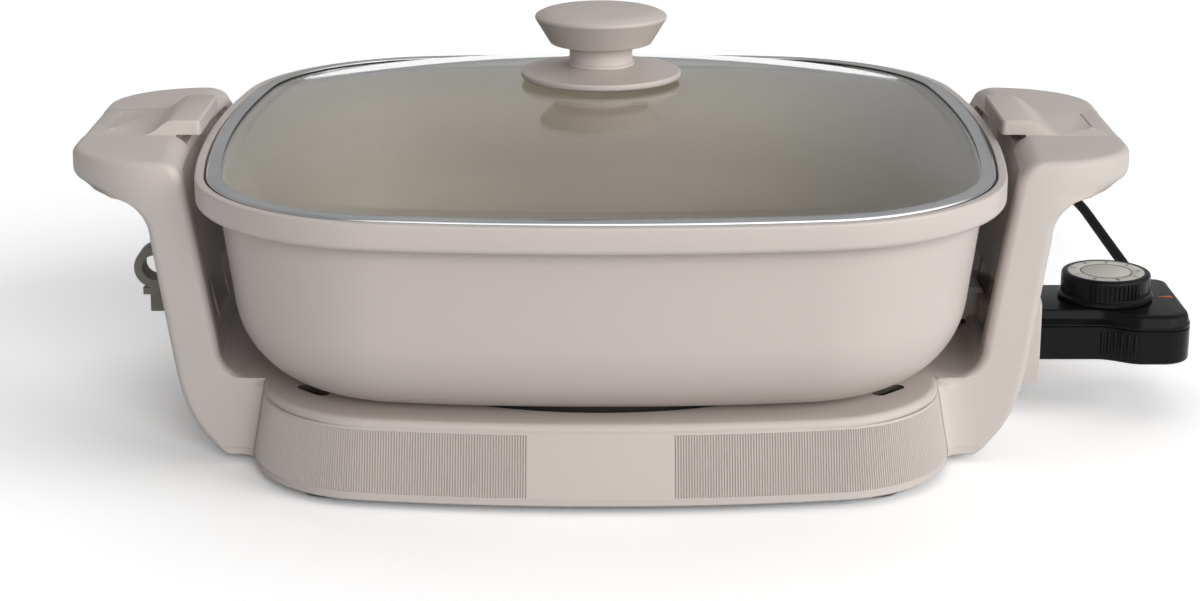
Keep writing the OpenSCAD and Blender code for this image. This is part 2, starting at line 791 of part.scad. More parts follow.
module arm_screws() {
    color(STEEL) at_arm_screws() {
        rod_x(screw_r, -base_t - 1, arm_screw_l);
        rod_x(3.4, -base_t - 3.2, -base_t - 1);
    }
}

// ------------------------------------------------------------ storage clip

clip_root_x = clip_x - 14.2;
clip_root_z0 = clip_z - 19.4;
clip_root_half = clip_l / 2;
clip_screw_z = [clip_z - 15.9, clip_z - 9.9];
clip_screw_r = 1.6;
clip_screw_l = 11;
clip_head_r = 2.6;
clip_lug_z = clip_z - 11.9;

module at_clip_screws() {
    for (z = clip_screw_z) translate([clip_root_x, 0, z]) children();
}

// The handle's side of the clip's joint, which shapes the foot of the clip
module clip_seat() {
    low = clip_root_z0 - 2;
    high = clip_z + 2 * clip_r;
    far = post_in_x(low) - 2 * clip_r;
    rotate([90, 0, 0]) linear_extrude(clip_l + 2, center = true)
        polygon([[far, low], [post_out_x(low), low], [post_out_x(high), high], [far, high]]);
}

// Ring on the left handle that parks the heat control's rod
module storage_clip() {
    stem_w = 5;
    color(GREIGE_DARK) mirror([1, 0, 0]) difference() {
        union() {
            translate([clip_x, 0, clip_z]) rotate([90, 0, 0])
                cylinder(r = clip_r, h = clip_l, center = true, $fn = 96);
            block([clip_x - stem_w / 2, -clip_l / 2, clip_root_z0],
                  [clip_x + stem_w / 2, clip_l / 2, clip_z - clip_r + 1]);
            block([post_out_x(clip_root_z0) - 1.6, -clip_root_half, clip_root_z0],
                  [clip_x, clip_root_half, clip_z - clip_r + 1]);
            block([clip_x, -clip_l / 2, clip_lug_z], [clip_x + 5.5, clip_l / 2, clip_lug_z + 3]);
        }
        translate([clip_x, 0, clip_z]) rotate([90, 0, 0])
            cylinder(r = clip_bore_r, h = clip_l + 2, center = true, $fn = 96);
        clip_seat();
        at_clip_screws() rod_x(clip_screw_r + FIT / 2, -clip_screw_l - 1, clip_x - clip_root_x + 4);
        at_clip_screws() rod_x(clip_head_r + FIT, clip_x - clip_root_x - 3, clip_x - clip_root_x + 8);
    }
}

module clip_screws() {
    color(STEEL) mirror([1, 0, 0]) at_clip_screws() {
        rod_x(clip_screw_r, -clip_screw_l, clip_x - clip_root_x - 3);
        rod_x(clip_head_r, clip_x - clip_root_x - 3, clip_x - clip_root_x - 1);
    }
}

// -------------------------------------------------------------------- pan

function pan_ring(half, z) =
    let (o = half - rim_half) ring(half, side_bow_r + o, max(rim_corner_r + o, 22), z);

// Ring on the body's side or floor round, drawn in by the wall t
function body_half_line(z) =
    body_half - (body_top_z - z) * tan(wall_draft);

module pan() {
    r = floor_round_r;
    cz = pan_floor_z + r;
    wall_z = cz - r * sin(wall_draft);
    wall_x = body_half_line(wall_z);
    cx = wall_x - r * cos(wall_draft);
    edge = 2.5;
    seat_in = rim_inset - band_w - 2.2;
    fillet = 4;
    inner = r - pan_t;
    color(GREIGE) loft(concat(
        [for (a = [90:-14:6.1]) pan_ring(cx + r * cos(a), cz - r * sin(a))],
        [pan_ring(wall_x, wall_z), pan_ring(body_half_line(body_top_z - fillet), body_top_z - fillet),
         pan_ring(body_half_line(body_top_z) + 0.9, body_top_z - 1.2),
         pan_ring(body_half_line(body_top_z) + fillet, body_top_z),
         pan_ring(rim_half - edge, body_top_z), pan_ring(rim_half - edge * 0.3, body_top_z + edge * 0.3),
         pan_ring(rim_half, body_top_z + edge),
         pan_ring(rim_half, rim_z - 0.8), pan_ring(rim_half - 0.8, rim_z),
         pan_ring(rim_inset + 0.3, rim_z), pan_ring(rim_inset, rim_z - 0.3),
         pan_ring(rim_inset, lid_seat_z), pan_ring(seat_in + 1, lid_seat_z),
         pan_ring(seat_in, lid_seat_z - 1),
         pan_ring(min(body_half_line(body_top_z) - pan_t, seat_in - 1), body_top_z - 4),
         pan_ring(wall_x - pan_t, wall_z)],
        [for (a = [18:18:90]) pan_ring(cx + inner * cos(a), cz - inner * sin(a))]));
}

// -------------------------------------------------------------------- lid

band_out = rim_inset - lid_play;
band_in = band_out - band_w;
glass_edge = band_out - 1.2;
glass_edge_z = lid_seat_z + band_sheet + 0.3;
glass_hole_r = 4;
dome_top_z = glass_edge_z + glass_t + dome_rise;
knob_bore_r = 2.1;

function lid_ring(half, z) =
    let (o = half - rim_half) ring(half, side_bow_r + o, rim_corner_r + o, z);

// Point ring of the dome at the fraction f of the way out from the knob. It
// turns from a circle at the knob into the lid's outline at the band.
function dome_ring(f, z) =
    let (edge = bowed_square(band_in - 2, side_bow_r - 6, rim_corner_r - 9),
         m = f * f)
    [for (p = edge)
        let (l = norm(p), q = p / l, r = glass_hole_r + (band_in - 2 - glass_hole_r) * f,
             s = glass_hole_r + (l - glass_hole_r) * f, k = (1 - m) * r + m * s)
        [q[0] * k, q[1] * k, z]];

function dome_z(f) = dome_top_z - dome_rise * pow(f, 2.15);

module lid_glass() {
    steps = [0, 0.24, 0.38, 0.52, 0.64, 0.76, 0.86, 0.94, 1];
    low = glass_edge_z;
    color(GLASS) loft(concat(
        [for (i = [0:len(steps) - 1]) dome_ring(steps[i], dome_z(steps[i]) - glass_t)],
        [lid_ring(band_in - 0.8, low), lid_ring(glass_edge, low),
         lid_ring(glass_edge, low + glass_t - 0.2), lid_ring(band_in - 0.8, low + glass_t)],
        [for (i = [len(steps) - 1:-1:0]) dome_ring(steps[i], dome_z(steps[i]))]), closed = true);
}

module band_outline(half) {
    o = half - rim_half;
    polygon(bowed_square(half, side_bow_r + o, rim_corner_r + o));
}

// Steel channel round the edge of the glass
module lid_band() {
    flange = 1;
    color(STEEL) {
        translate([0, 0, lid_seat_z]) linear_extrude(band_h) difference() {
            band_outline(band_out);
            band_outline(band_out - band_sheet);
        }
        for (z = [lid_seat_z, lid_seat_z + band_h - band_sheet])
            translate([0, 0, z]) linear_extrude(band_sheet) difference() {
                band_outline(band_out - band_sheet / 2);
                band_outline(band_in + (z > lid_seat_z ? 0 : flange));
            }
    }
}

knob_z0 = dome_top_z + 0.6;
knob_neck_z = knob_z0 + shield_t + shield_rise;

module knob_gasket() {
    color(RUBBER) difference() {
        union() {
            translate([0, 0, dome_top_z]) cylinder(r = 12, h = 0.6, $fn = 80);
            translate([0, 0, dome_top_z - glass_t])
                cylinder(r = glass_hole_r - 0.25, h = glass_t + 0.1, $fn = 48);
        }
        translate([0, 0, dome_top_z - glass_t - 1]) cylinder(r = knob_bore_r + 0.4, h = 20, $fn = 40);
    }
}

module knob_shield() {
    e = shield_t / 2;
    color(GREIGE) rotate_extrude($fn = 180) difference() {
        union() {
            translate([knob_bore_r + 0.4, knob_z0]) square([shield_r - e - knob_bore_r - 0.4, shield_t]);
            translate([shield_r - e, knob_z0 + e]) circle(e, $fn = 48);
            polygon([[knob_bore_r + 0.4, knob_z0 + shield_t - 0.1], [shield_r - e, knob_z0 + shield_t - 0.1],
                     [shield_r - e - 2, knob_z0 + shield_t + 0.15], [neck_r + 1.6, knob_neck_z],
                     [knob_bore_r + 0.4, knob_neck_z]]);
        }
    }
}

grip_z0 = knob_neck_z + neck_h;
grip_z1 = grip_z0 + grip_cone_h;
knob_top_z = grip_z1 + grip_dome_h;

// The grip, turned about the lid's middle, with a blind hole for its screw
module knob_grip() {
    foot_ring = 0.9;
    edge = 1.6;
    color(GREIGE) rotate_extrude($fn = 180) polygon(concat(
        [[0, knob_neck_z + 16], [knob_bore_r, knob_neck_z + 15], [knob_bore_r, knob_neck_z],
         [neck_r + foot_ring, knob_neck_z], [neck_r + foot_ring, knob_neck_z + 1.4],
         [neck_r, knob_neck_z + 1.8], [neck_r, grip_z0 - 1], [neck_r + 1, grip_z0],
         [grip_low_r - 1.2, grip_z0], [grip_low_r, grip_z0 + 1],
         [grip_r, grip_z1 - edge], [grip_r, grip_z1]],
        [for (a = [10:10:80]) [grip_r * cos(a), grip_z1 + grip_dome_h * sin(a)]],
        [[0, knob_top_z]]));
}

knob_washer_r = 10;
knob_washer_t = 1.2;
washer_z = dome_top_z - glass_t - 0.3 - knob_washer_t;

module knob_washer() {
    color(STEEL) translate([0, 0, washer_z]) difference() {
        cylinder(r = knob_washer_r, h = knob_washer_t, $fn = 80);
        translate([0, 0, -1]) cylinder(r = knob_bore_r + 0.2, h = 4, $fn = 40);
    }
}

module knob_screw() {
    head_r = 4.5;
    head_h = 2.4;
    z = washer_z;
    color(STEEL) {
        rotate_extrude($fn = 80) polygon([[0, z - head_h], [head_r - 1.6, z - head_h],
            [head_r, z - 0.8], [head_r, z], [0, z]]);
        translate([0, 0, z - 0.5]) cylinder(r = knob_bore_r - 0.1, h = knob_neck_z + 13 - z, $fn = 40);
    }
}

// -------------------------------------------------------------- pan locks

channel_z = wing_z - lock_depth;
lock_nose_x = rim_half + 0.5;
lock_seat_x = rim_half + 10.7;
lock_flat_x = rim_half + 11.7;
lock_ramp_x = rim_half + 24.2;
lock_out_x = wing_x - 0.4;
lock_top_z = wing_z + thumb_rise;
keeper_x = wing_x - 14;
keeper_z = channel_z - 4.8;
keeper_slot_r = 3.3;
keeper_pin_r = 3;

module lock_channel() {
    block([post_in, -lock_half_w - lock_play, channel_z],
          [wing_x + 10, lock_half_w + lock_play, wing_z + 10]);
    peg_slot(keeper_slot_r, keeper_z - 1, channel_z + 1);
    block([keeper_x - lock_travel - 7, -7, 90], [keeper_x + 7, 7, keeper_z]);
}

// Slot along X for the slider's peg, from its rest place to its locked place
module peg_slot(r, z0, z1) {
    for (x = [keeper_x - lock_travel, keeper_x])
        translate([x, 0, z0]) cylinder(r = r, h = z1 - z0, $fn = 48);
    block([keeper_x - lock_travel, -r, z0], [keeper_x, r, z1]);
}

// Slider with a raised thumb block whose nose reaches over the pan's rim
module lock_slider() {
    corner = 2;
    chamfer = 0.7;
    low = channel_z + 0.1;
    under = wing_z + 0.3;
    groove_y0 = -9;
    groove_y1 = 17;
    groove_x = wing_x - 10;
    difference() {
        union() {
            intersection() {
                rotate([90, 0, 0]) linear_extrude(2 * lock_half_w, center = true)
                    polygon([[lock_nose_x, under], [lock_seat_x, under], [lock_seat_x, low],
                             [lock_out_x, low],
                             for (a = [0:22.5:90]) [lock_out_x - wing_round * (1 - cos(a)),
                                                    wing_z - wing_round * (1 - sin(a))],
                             for (t = [0:0.2:1]) [lock_ramp_x + (lock_flat_x - lock_ramp_x) * t,
                                                  wing_z + thumb_rise * t * t * (3 - 2 * t)],
                             [lock_nose_x + chamfer, lock_top_z], [lock_nose_x, lock_top_z - chamfer]]);
                translate([0, 0, low - 1]) linear_extrude(lock_top_z - low + 2) {
                    translate([lock_nose_x + corner, -lock_half_w])
                        square([lock_out_x - lock_nose_x - corner, 2 * lock_half_w]);
                    translate([lock_nose_x, corner - lock_half_w])
                        square([corner + 1, 2 * (lock_half_w - corner)]);
                    for (s = [-1, 1]) translate([lock_nose_x + corner, s * (lock_half_w - corner)])
                        circle(corner, $fn = 48);
                }
            }
            translate([keeper_x, 0, keeper_z + 0.2])
                cylinder(r = keeper_pin_r, h = low - keeper_z, $fn = 48);
        }
        block([groove_x - 0.6, groove_y0, wing_z - 0.5], [groove_x + 0.6, groove_y1, wing_z + 1]);
        translate([keeper_x, 0, keeper_z - 1]) cylinder(r = 1.5 + FIT / 4, h = 6.5, $fn = 32);
    }
    translate([groove_x - 0.4, -12.2, wing_z - 0.5]) cylinder(r = 1.3, h = 0.8, $fn = 40);
}

// Washer and screw that hold a slider down from below
module lock_keeper() {
    washer_r = 5.4;
    washer_t = 1;
    top = keeper_z + 0.1;
    translate([keeper_x, 0, 0]) {
        translate([0, 0, top - 0.2 - washer_t]) difference() {
            cylinder(r = washer_r, h = washer_t, $fn = 60);
            translate([0, 0, -1]) cylinder(r = 1.5, h = 4, $fn = 32);
        }
        translate([0, 0, top - 0.2 - washer_t - 1.6]) cylinder(r = 2.8, h = 1.6, $fn = 40);
        translate([0, 0, top - 0.2 - washer_t - 0.4]) cylinder(r = 1.5, h = 6, $fn = 32);
    }
}

module lock_left() {
    color(GREIGE) mirror([1, 0, 0]) lock_slider();
}

module lock_right() {
    color(GREIGE) lock_slider();
}

module lock_keeper_left() {
    color(STEEL) mirror([1, 0, 0]) lock_keeper();
}

module lock_keeper_right() {
    color(STEEL) lock_keeper();
}

// ----------------------------------------------------------- heat control

ctl_x0 = collar_x + ctl_gap;
ctl_wall = 2.4;
ctl_flare_x0 = dial_x - 6.2;
ctl_flare_x1 = dial_x + 11.8;
nose_x0 = mouth_x + 2;
nose_play = 0.5;
contact_r = 3.5;
contact_x1 = collar_x - 2.4;
rod_x0 = plate_r - well_depth + 1.5;
rod_x1 = collar_x - 0.4;
ctl_screw_x = [ctl_x0 + 6.9, ctl_x1 - 9];
ctl_screw_y = 12.5;
shaft_r = 3;

// Outline of the control: a neck that swells into a broad outer end
function ctl_outline(neck, end, x1, rear_r = 5, front_r = 11) =
    let (front = concat(
            [[ctl_x0, -neck]],
            [for (i = [0:8]) let (t = i / 8, s = 3 * t * t - 2 * t * t * t)
                [ctl_flare_x0 + (ctl_flare_x1 - ctl_flare_x0) * t, -(neck + (end - neck) * s)]],
            [for (a = [-90:15:0]) [x1 - front_r + front_r * cos(a), -end + front_r + front_r * sin(a)]]),
         rear = concat(
            [for (a = [0:18:90]) [x1 - rear_r + rear_r * cos(a), end - rear_r + rear_r * sin(a)]],
            [for (i = [8:-1:0]) let (t = i / 8, s = 3 * t * t - 2 * t * t * t)
                [ctl_flare_x0 + (ctl_flare_x1 - ctl_flare_x0) * t, neck + (end - neck) * s]],
            [[ctl_x0, neck]]))
    concat(front, rear);

function ctl_ring(z, neck, end, x1) = [for (p = ctl_outline(neck, end, x1)) [p[0], p[1], z]];

module at_ctl_screws() {
    for (x = ctl_screw_x, y = [-ctl_screw_y, ctl_screw_y]) translate([x, y, 0]) children();
}

module control_lower() {
    edge = 2;
    color(BLACK) difference() {
        union() {
            difference() {
                loft([ctl_ring(ctl_z0, ctl_neck_half - edge, ctl_end_half - edge, ctl_x1 - edge),
                      ctl_ring(ctl_z0 + 0.6, ctl_neck_half - 0.6, ctl_end_half - 0.6, ctl_x1 - 0.6),
                      ctl_ring(ctl_z0 + edge, ctl_neck_half, ctl_end_half, ctl_x1),
                      ctl_ring(ctl_seam_z, ctl_neck_half, ctl_end_half, ctl_x1)]);
                block([ctl_x0 + ctl_wall, -ctl_neck_half + ctl_wall, ctl_z0 + ctl_wall],
                      [ctl_x1 - ctl_wall - 1, ctl_neck_half - ctl_wall, ctl_seam_z + 1]);
            }
            block([nose_x0, -mouth_half + nose_play, mouth_z0 + nose_play],
                  [ctl_x0 + 0.5, mouth_half - nose_play, mouth_z1 - nose_play]);
            at_ctl_screws() translate([0, 0, ctl_z0 + 1])
                cylinder(r = 3.4, h = ctl_seam_z - ctl_z0 - 1, $fn = 40);
            grip_ribs();
        }
        at_ctl_screws() {
            translate([0, 0, ctl_z0 - 1]) cylinder(r = 1.5 + FIT / 2, h = 30, $fn = 32);
            translate([0, 0, ctl_z0 - 1]) cylinder(r = 2.7, h = 3, $fn = 40);
        }
        rod_x(rod_r + FIT / 2, nose_x0 - 1, rod_x1 + 0.5, 0, socket_z);
        both_y() rod_x(contact_r + FIT / 2, nose_x0 - 1, contact_x1 + 0.5, pin_y, socket_z);
        rod_x(6, ctl_x0 - 1, ctl_x0 + ctl_wall + 1, 0, socket_z);
        relief_bore();
    }
}

// Upright finger ribs in the hollow between the neck and the broad end
module grip_ribs() {
    both_y() for (i = [0:5]) {
        t = (i + 0.6) / 7;
        s = 3 * t * t - 2 * t * t * t;
        translate([ctl_flare_x0 + (ctl_flare_x1 - ctl_flare_x0) * t,
                   ctl_neck_half + (ctl_end_half - ctl_neck_half) * s - 0.2, ctl_z0 + 3])
            cylinder(r = 0.9, h = ctl_seam_z - ctl_z0 - 5, $fn = 24);
    }
}

module control_upper() {
    low = ctl_seam_z + SEAM / 2;
    step = 3.4;
    color(BLACK) difference() {
        loft([ctl_ring(low, ctl_neck_half, ctl_end_half, ctl_x1),
              ctl_ring(low + 0.6, ctl_neck_half, ctl_end_half, ctl_x1),
              ctl_ring(ctl_z1 - 1.2, ctl_neck_half - step, ctl_end_half - 0.5, ctl_x1 - 0.5),
              ctl_ring(ctl_pad_z - 1.2, ctl_neck_half - step - 0.2, ctl_end_half - 1.4, ctl_x1 - 1.2),
              ctl_ring(ctl_pad_z, ctl_neck_half - step - 1, ctl_end_half - 3.2, ctl_x1 - 2.8)]);
        block([ctl_x0 + ctl_wall + 3, -ctl_neck_half + ctl_wall + step, low - 1],
              [ctl_x1 - ctl_wall - 12, ctl_neck_half - ctl_wall - step, ctl_pad_z - ctl_wall]);
        at_ctl_screws() translate([0, 0, low - 1]) cylinder(r = 1.4, h = 4.4, $fn = 32);
        translate([dial_x, 0, 0]) cylinder(r = shaft_r + RUN, h = ctl_pad_z + 1, $fn = 48);
        pointer_pocket();
        relief_bore();
    }
}

module control_screws() {
    color(STEEL) at_ctl_screws() {
        translate([0, 0, ctl_z0 + 0.3]) cylinder(r = 2.5, h = 1.6, $fn = 40);
        translate([0, 0, ctl_z0 + 0.6]) cylinder(r = 1.3, h = ctl_seam_z + 2.6 - ctl_z0 - 0.6, $fn = 32);
    }
}

// The switch block that the dial's shaft sets and the rod's tip warms
module thermostat() {
    x0 = ctl_x0 + ctl_wall + 6.5;
    color(DARK_STEEL) difference() {
        union() {
            block([x0, -9, ctl_z0 + ctl_wall], [dial_x + 12, 9, ctl_seam_z - 2]);
            translate([dial_x, 0, ctl_seam_z - 3]) cylinder(r = 6, h = 2.5, $fn = 60);
        }
        translate([dial_x, 0, ctl_seam_z - 6]) cylinder(r = shaft_r + RUN, h = 10, $fn = 48);
    }
}

module sensor_rod() {
    color(STEEL) union() {
        rod_x(rod_r, rod_x0 + rod_r, rod_x1, 0, socket_z);
        translate([rod_x0 + rod_r, 0, socket_z]) sphere(rod_r, $fn = 48);
    }
}

module contact_tubes() {
    color(BRASS) both_y() difference() {
        rod_x(contact_r, nose_x0 + 1, contact_x1, pin_y, socket_z);
        rod_x(pin_r + RUN, nose_x0, contact_x1 - 6, pin_y, socket_z);
    }
}

pointer_x0 = ctl_x1 - 10.3;
pointer_x1 = ctl_x1 - 3.8;

module pointer_shape(o = 0) {
    half = 2 + o;
    polygon([[pointer_x0 - o, 0], [pointer_x1 + o, -half], [pointer_x1 + o, half]]);
}

module pointer_pocket() {
    translate([0, 0, ctl_pad_z - 0.8]) linear_extrude(2) pointer_shape(0.1);
}

module pointer_inlay() {
    color(ORANGE) translate([0, 0, ctl_pad_z - 0.7]) linear_extrude(0.75) pointer_shape();
}

// ------------------------------------------------------------------- dial

dial_z0 = ctl_pad_z + 0.3;
dial_foot_h = 2.4;
dial_top_z = dial_z0 + dial_foot_h + dial_h;
dial_plate_t = 0.8;
dial_bevel = 1.2;

// Dial with upright grip ribs above a plain foot ring
module dial_knob() {
    rib_d = 0.5;
    rib_z1 = dial_top_z - dial_bevel;
    step = 360 / dial_ribs;
    color(BLACK) translate([dial_x, 0, 0]) difference() {
        union() {
            translate([0, 0, dial_z0]) cylinder(r = dial_foot_r, h = dial_foot_h, $fn = 120);
            translate([0, 0, dial_z0 + dial_foot_h - 0.1])
                linear_extrude(rib_z1 - dial_z0 - dial_foot_h + 0.1)
                    polygon([for (i = [0:dial_ribs - 1], k = [0:3])
                        let (a = (i + [0, 0.5, 0.5, 1][k] - 0.02 * [0, 1, 0, 1][k]) * step,
                             r = dial_r - (k < 2 ? 0 : rib_d))
                        [r * cos(a), r * sin(a)]]);
            translate([0, 0, rib_z1 - 0.1]) rotate_extrude($fn = 120)
                polygon([[0, 0], [dial_r - 0.2, 0], [dial_r - 0.2, 0.4], [dial_r - 0.9, dial_bevel + 0.1],
                         [0, dial_bevel + 0.1]]);
        }
        translate([0, 0, dial_top_z - dial_plate_t]) cylinder(r = dial_plate_r + 0.1, h = 2, $fn = 120);
        translate([0, 0, dial_z0 - 1]) cylinder(r = shaft_r + FIT / 4, h = 7.5, $fn = 48);
        translate([0, 0, dial_z0 - 1]) difference() {
            cylinder(r = dial_r - 2.4, h = 7, $fn = 120);
            cylinder(r = 6, h = 8, $fn = 60);
        }
    }
}

module dial_plate() {
    color(SILVER) translate([dial_x, 0, dial_top_z - dial_plate_t])
        cylinder(r = dial_plate_r, h = dial_plate_t, $fn = 120);
}

module dial_shaft() {
    low = ctl_seam_z - 5.6;
    color(STEEL) translate([dial_x, 0, low]) cylinder(r = shaft_r, h = dial_z0 + 6 - low, $fn = 48);
}

// ------------------------------------------------------------------- cord

// Route of the cord from the relief to the coil, then from the coil to the
// plug. The coil winds between them.
ROUTE_OUT = [[245, 70, 34], [245, 85, 34], [245, 100, 34], [245, 115, 34], [245, 130, 34],
    [245, 145, 34], [245, 160, 34], [245, 175, 34], [245, 190, 34], [244.5, 205, 33.8],
    [244, 220, 33.2], [243.5, 234, 32], [243, 248, 30], [242.4, 261, 26.5], [241.8, 273, 22],
    [241.2, 285, 17], [240.5, 297, 12], [239.5, 309, 7.8], [238, 323, 4.6], [235.9, 337, 2.8]];
ROUTE_END = [[177.2, 338, 14.6], [178.4, 330, 13.4], [179.2, 320, 11.2], [179.5, 308, 9.2],
    [179.5, 296.1, 9]];
COIL = [207, 352];
coil_r = 27.5;
coil_h = 17.5;
relief_y0 = ctl_end_half - 3;
relief_y1 = ROUTE_OUT[0][1];
plug_y1 = ROUTE_END[4][1] - 0.1;
plug_l = 32;
plug_w = 24;
plug_h = 15;

// Ring of eight points round the route's point i, square to the route there
function tube_ring(route, i) =
    let (n = len(route), a = route[max(0, i - 1)], b = route[min(n - 1, i + 1)],
         d = (b - a) / norm(b - a), s = cross(d, [0, 0, 1]), u = s / norm(s), v = cross(u, d))
    [for (k = [0:7]) route[i] + cord_r * (u * cos(45 * k) + v * sin(45 * k))];

module tube(route) {
    loft([for (i = [0:len(route) - 1]) tube_ring(route, i)]);
}

module relief_bore() {
    translate([ROUTE_OUT[0][0], relief_y0 - 2, ROUTE_OUT[0][2]]) rotate([-90, 0, 0])
        cylinder(r = 4.5 + FIT / 2, h = 20, $fn = 48);
}

module strain_relief() {
    y0 = relief_y0 - 1;
    l = relief_y1 - y0;
    color(BLACK) translate([ROUTE_OUT[0][0], y0, ROUTE_OUT[0][2]]) rotate([-90, 0, 0])
        rotate_extrude($fn = 60) polygon([[0, 0], [4.5, 0], [4.5, 5], [4.1, 7], [3.1, l], [0, l]]);
}

module cord() {
    color(BLACK) {
        tube(ROUTE_OUT);
        tube(ROUTE_END);
    }
}

module cord_coil() {
    color(BLACK) translate([COIL[0], COIL[1], 0]) rotate_extrude($fn = 96)
        translate([coil_r - cord_r, 0]) square([2 * cord_r, coil_h]);
}

module plug_body() {
    z = ROUTE_END[4][2];
    color(BLACK) translate([ROUTE_END[4][0], 0, 0]) rotate([90, 0, 0]) translate([0, 0, -plug_y1])
        linear_extrude(plug_l) {
            translate([-plug_w / 2 + 4, z - plug_h / 2]) square([plug_w - 8, plug_h]);
            translate([-plug_w / 2, z - plug_h / 2 + 4]) square([plug_w, plug_h - 8]);
            for (sx = [-1, 1], sz = [-1, 1]) translate([sx * (plug_w / 2 - 4), z + sz * (plug_h / 2 - 4)])
                circle(4, $fn = 40);
        }
}

module plug_blades() {
    z = ROUTE_END[4][2];
    y0 = plug_y1 - plug_l;
    color(STEEL) for (s = [-1, 1])
        block([ROUTE_END[4][0] + s * 6.35 - 0.75, y0 - 17, z - 3.2],
              [ROUTE_END[4][0] + s * 6.35 + 0.75, y0, z + 3.2]);
}

base_shell();
bottom_cover();
rubber_feet();
cover_screws();
reflector_dish();
plate_bracket();
bracket_screws();
heater_plate();
heating_element();
terminal_pins();
pin_bushings();
probe_socket();
probe_guard();
arm_left();
arm_right();
liner_left();
liner_right();
arm_screws();
storage_clip();
clip_screws();
pan();
lid_glass();
lid_band();
knob_gasket();
knob_shield();
knob_grip();
knob_washer();
knob_screw();
lock_left();
lock_right();
lock_keeper_left();
lock_keeper_right();
control_lower();
control_upper();
control_screws();
thermostat();
sensor_rod();
contact_tubes();
pointer_inlay();
dial_knob();
dial_plate();
dial_shaft();
strain_relief();
cord();
cord_coil();
plug_body();
plug_blades();
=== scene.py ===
"""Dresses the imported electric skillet: its pan, glass lid, base, handles, locks, heat control and cord.

Each sub-assembly is a class. Its sizes are in millimetres, as in the part's source,
and its meshes are made in metres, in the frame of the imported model.
"""

from __future__ import annotations

import logging
import math
from dataclasses import dataclass
from enum import Enum
from typing import Callable, Sequence

import bmesh
import bpy
from mathutils import Matrix, Vector
from mathutils.kdtree import KDTree


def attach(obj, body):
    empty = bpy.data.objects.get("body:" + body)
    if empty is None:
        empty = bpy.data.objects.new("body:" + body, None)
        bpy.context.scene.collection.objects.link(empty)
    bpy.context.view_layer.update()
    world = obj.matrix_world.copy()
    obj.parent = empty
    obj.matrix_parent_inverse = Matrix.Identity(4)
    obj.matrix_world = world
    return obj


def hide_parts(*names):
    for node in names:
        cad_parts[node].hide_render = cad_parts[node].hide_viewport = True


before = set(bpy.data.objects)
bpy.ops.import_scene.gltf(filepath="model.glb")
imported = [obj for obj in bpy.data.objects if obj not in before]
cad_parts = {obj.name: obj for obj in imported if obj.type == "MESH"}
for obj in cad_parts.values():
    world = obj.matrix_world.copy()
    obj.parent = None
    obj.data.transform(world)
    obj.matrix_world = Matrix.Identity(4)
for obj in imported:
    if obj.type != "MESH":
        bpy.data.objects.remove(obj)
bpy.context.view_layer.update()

LOG = logging.getLogger("skillet")
MM = 0.001
WELD = 2e-6  # metres within which two points are one
THIN = 0.02  # least radius of a turned piece, which stands for a closed tip
CRISP = 32.0  # degrees above which an edge stays crisp
ROUNDED = 34.0  # degrees above which an edge is rounded
FLAT = 0.6  # degrees below which two faces count as one

Point2 = tuple[float, float]
Point3 = tuple[float, float, float]
Ring = list[Point3]
Colour = tuple[float, float, float]
Piece = bpy.types.Object
Node = bpy.types.Node
Socket = bpy.types.NodeSocket
Tree = bpy.types.NodeTree


# ------------------------------------------------------------------ modelling


def deselect() -> None:
    """Leaves no object selected, in object mode."""
    if bpy.context.object and bpy.context.object.mode != "OBJECT":
        bpy.ops.object.mode_set(mode="OBJECT")
    bpy.ops.object.select_all(action="DESELECT")


def pick(piece: Piece) -> None:
    """Makes one piece the selected and active object."""
    deselect()
    piece.select_set(True)
    bpy.context.view_layer.objects.active = piece


def modify(piece: Piece, kind: str, **settings: object) -> None:
    """Adds a modifier to a piece and applies it.

    Args:
        piece: The piece to change.
        kind: The modifier's type, such as BEVEL.
        settings: The modifier's own values.
    """
    pick(piece)
    modifier = piece.modifiers.new(kind.title(), kind)
    for key, value in settings.items():
        setattr(modifier, key, value)
    bpy.ops.object.modifier_apply(modifier=modifier.name)


def smooth(piece: Piece, degrees: float = CRISP) -> Piece:
    """Shades a piece smooth across edges flatter than an angle, and returns it."""
    pick(piece)
    bpy.ops.object.shade_smooth_by_angle(angle=math.radians(degrees))
    return piece


def soften(piece: Piece, width: float, segments: int = 3, degrees: float = ROUNDED) -> Piece:
    """Rounds the edges of a piece that are sharper than an angle.

    Args:
        piece: The piece to round.
        width: The round's width in millimetres.
        segments: How many faces make the round.
        degrees: The least angle of an edge that is rounded.

    Returns:
        The same piece.
    """
    modify(piece, "BEVEL", width=width * MM, segments=segments, limit_method="ANGLE",
           angle_limit=math.radians(degrees), use_clamp_overlap=True)
    return piece


def weld(piece: Piece, flatten: bool = False) -> None:
    """Welds doubled points, and joins flat faces where that is asked for."""
    pick(piece)
    bpy.ops.object.mode_set(mode="EDIT")
    bpy.ops.mesh.select_all(action="SELECT")
    bpy.ops.mesh.remove_doubles(threshold=WELD)
    if flatten:
        bpy.ops.mesh.dissolve_limited(angle_limit=math.radians(FLAT))
    bpy.ops.object.mode_set(mode="OBJECT")


def select_ring(mesh: bmesh.types.BMesh, wanted: set[int]) -> None:
    """Selects the edges whose two ends are both in a set of point numbers."""
    for part in (*mesh.verts, *mesh.edges, *mesh.faces):
        part.select = False
    for edge in mesh.edges:
        if edge.verts[0].index in wanted and edge.verts[1].index in wanted:
            edge.select = True
            edge.verts[0].select = True
            edge.verts[1].select = True


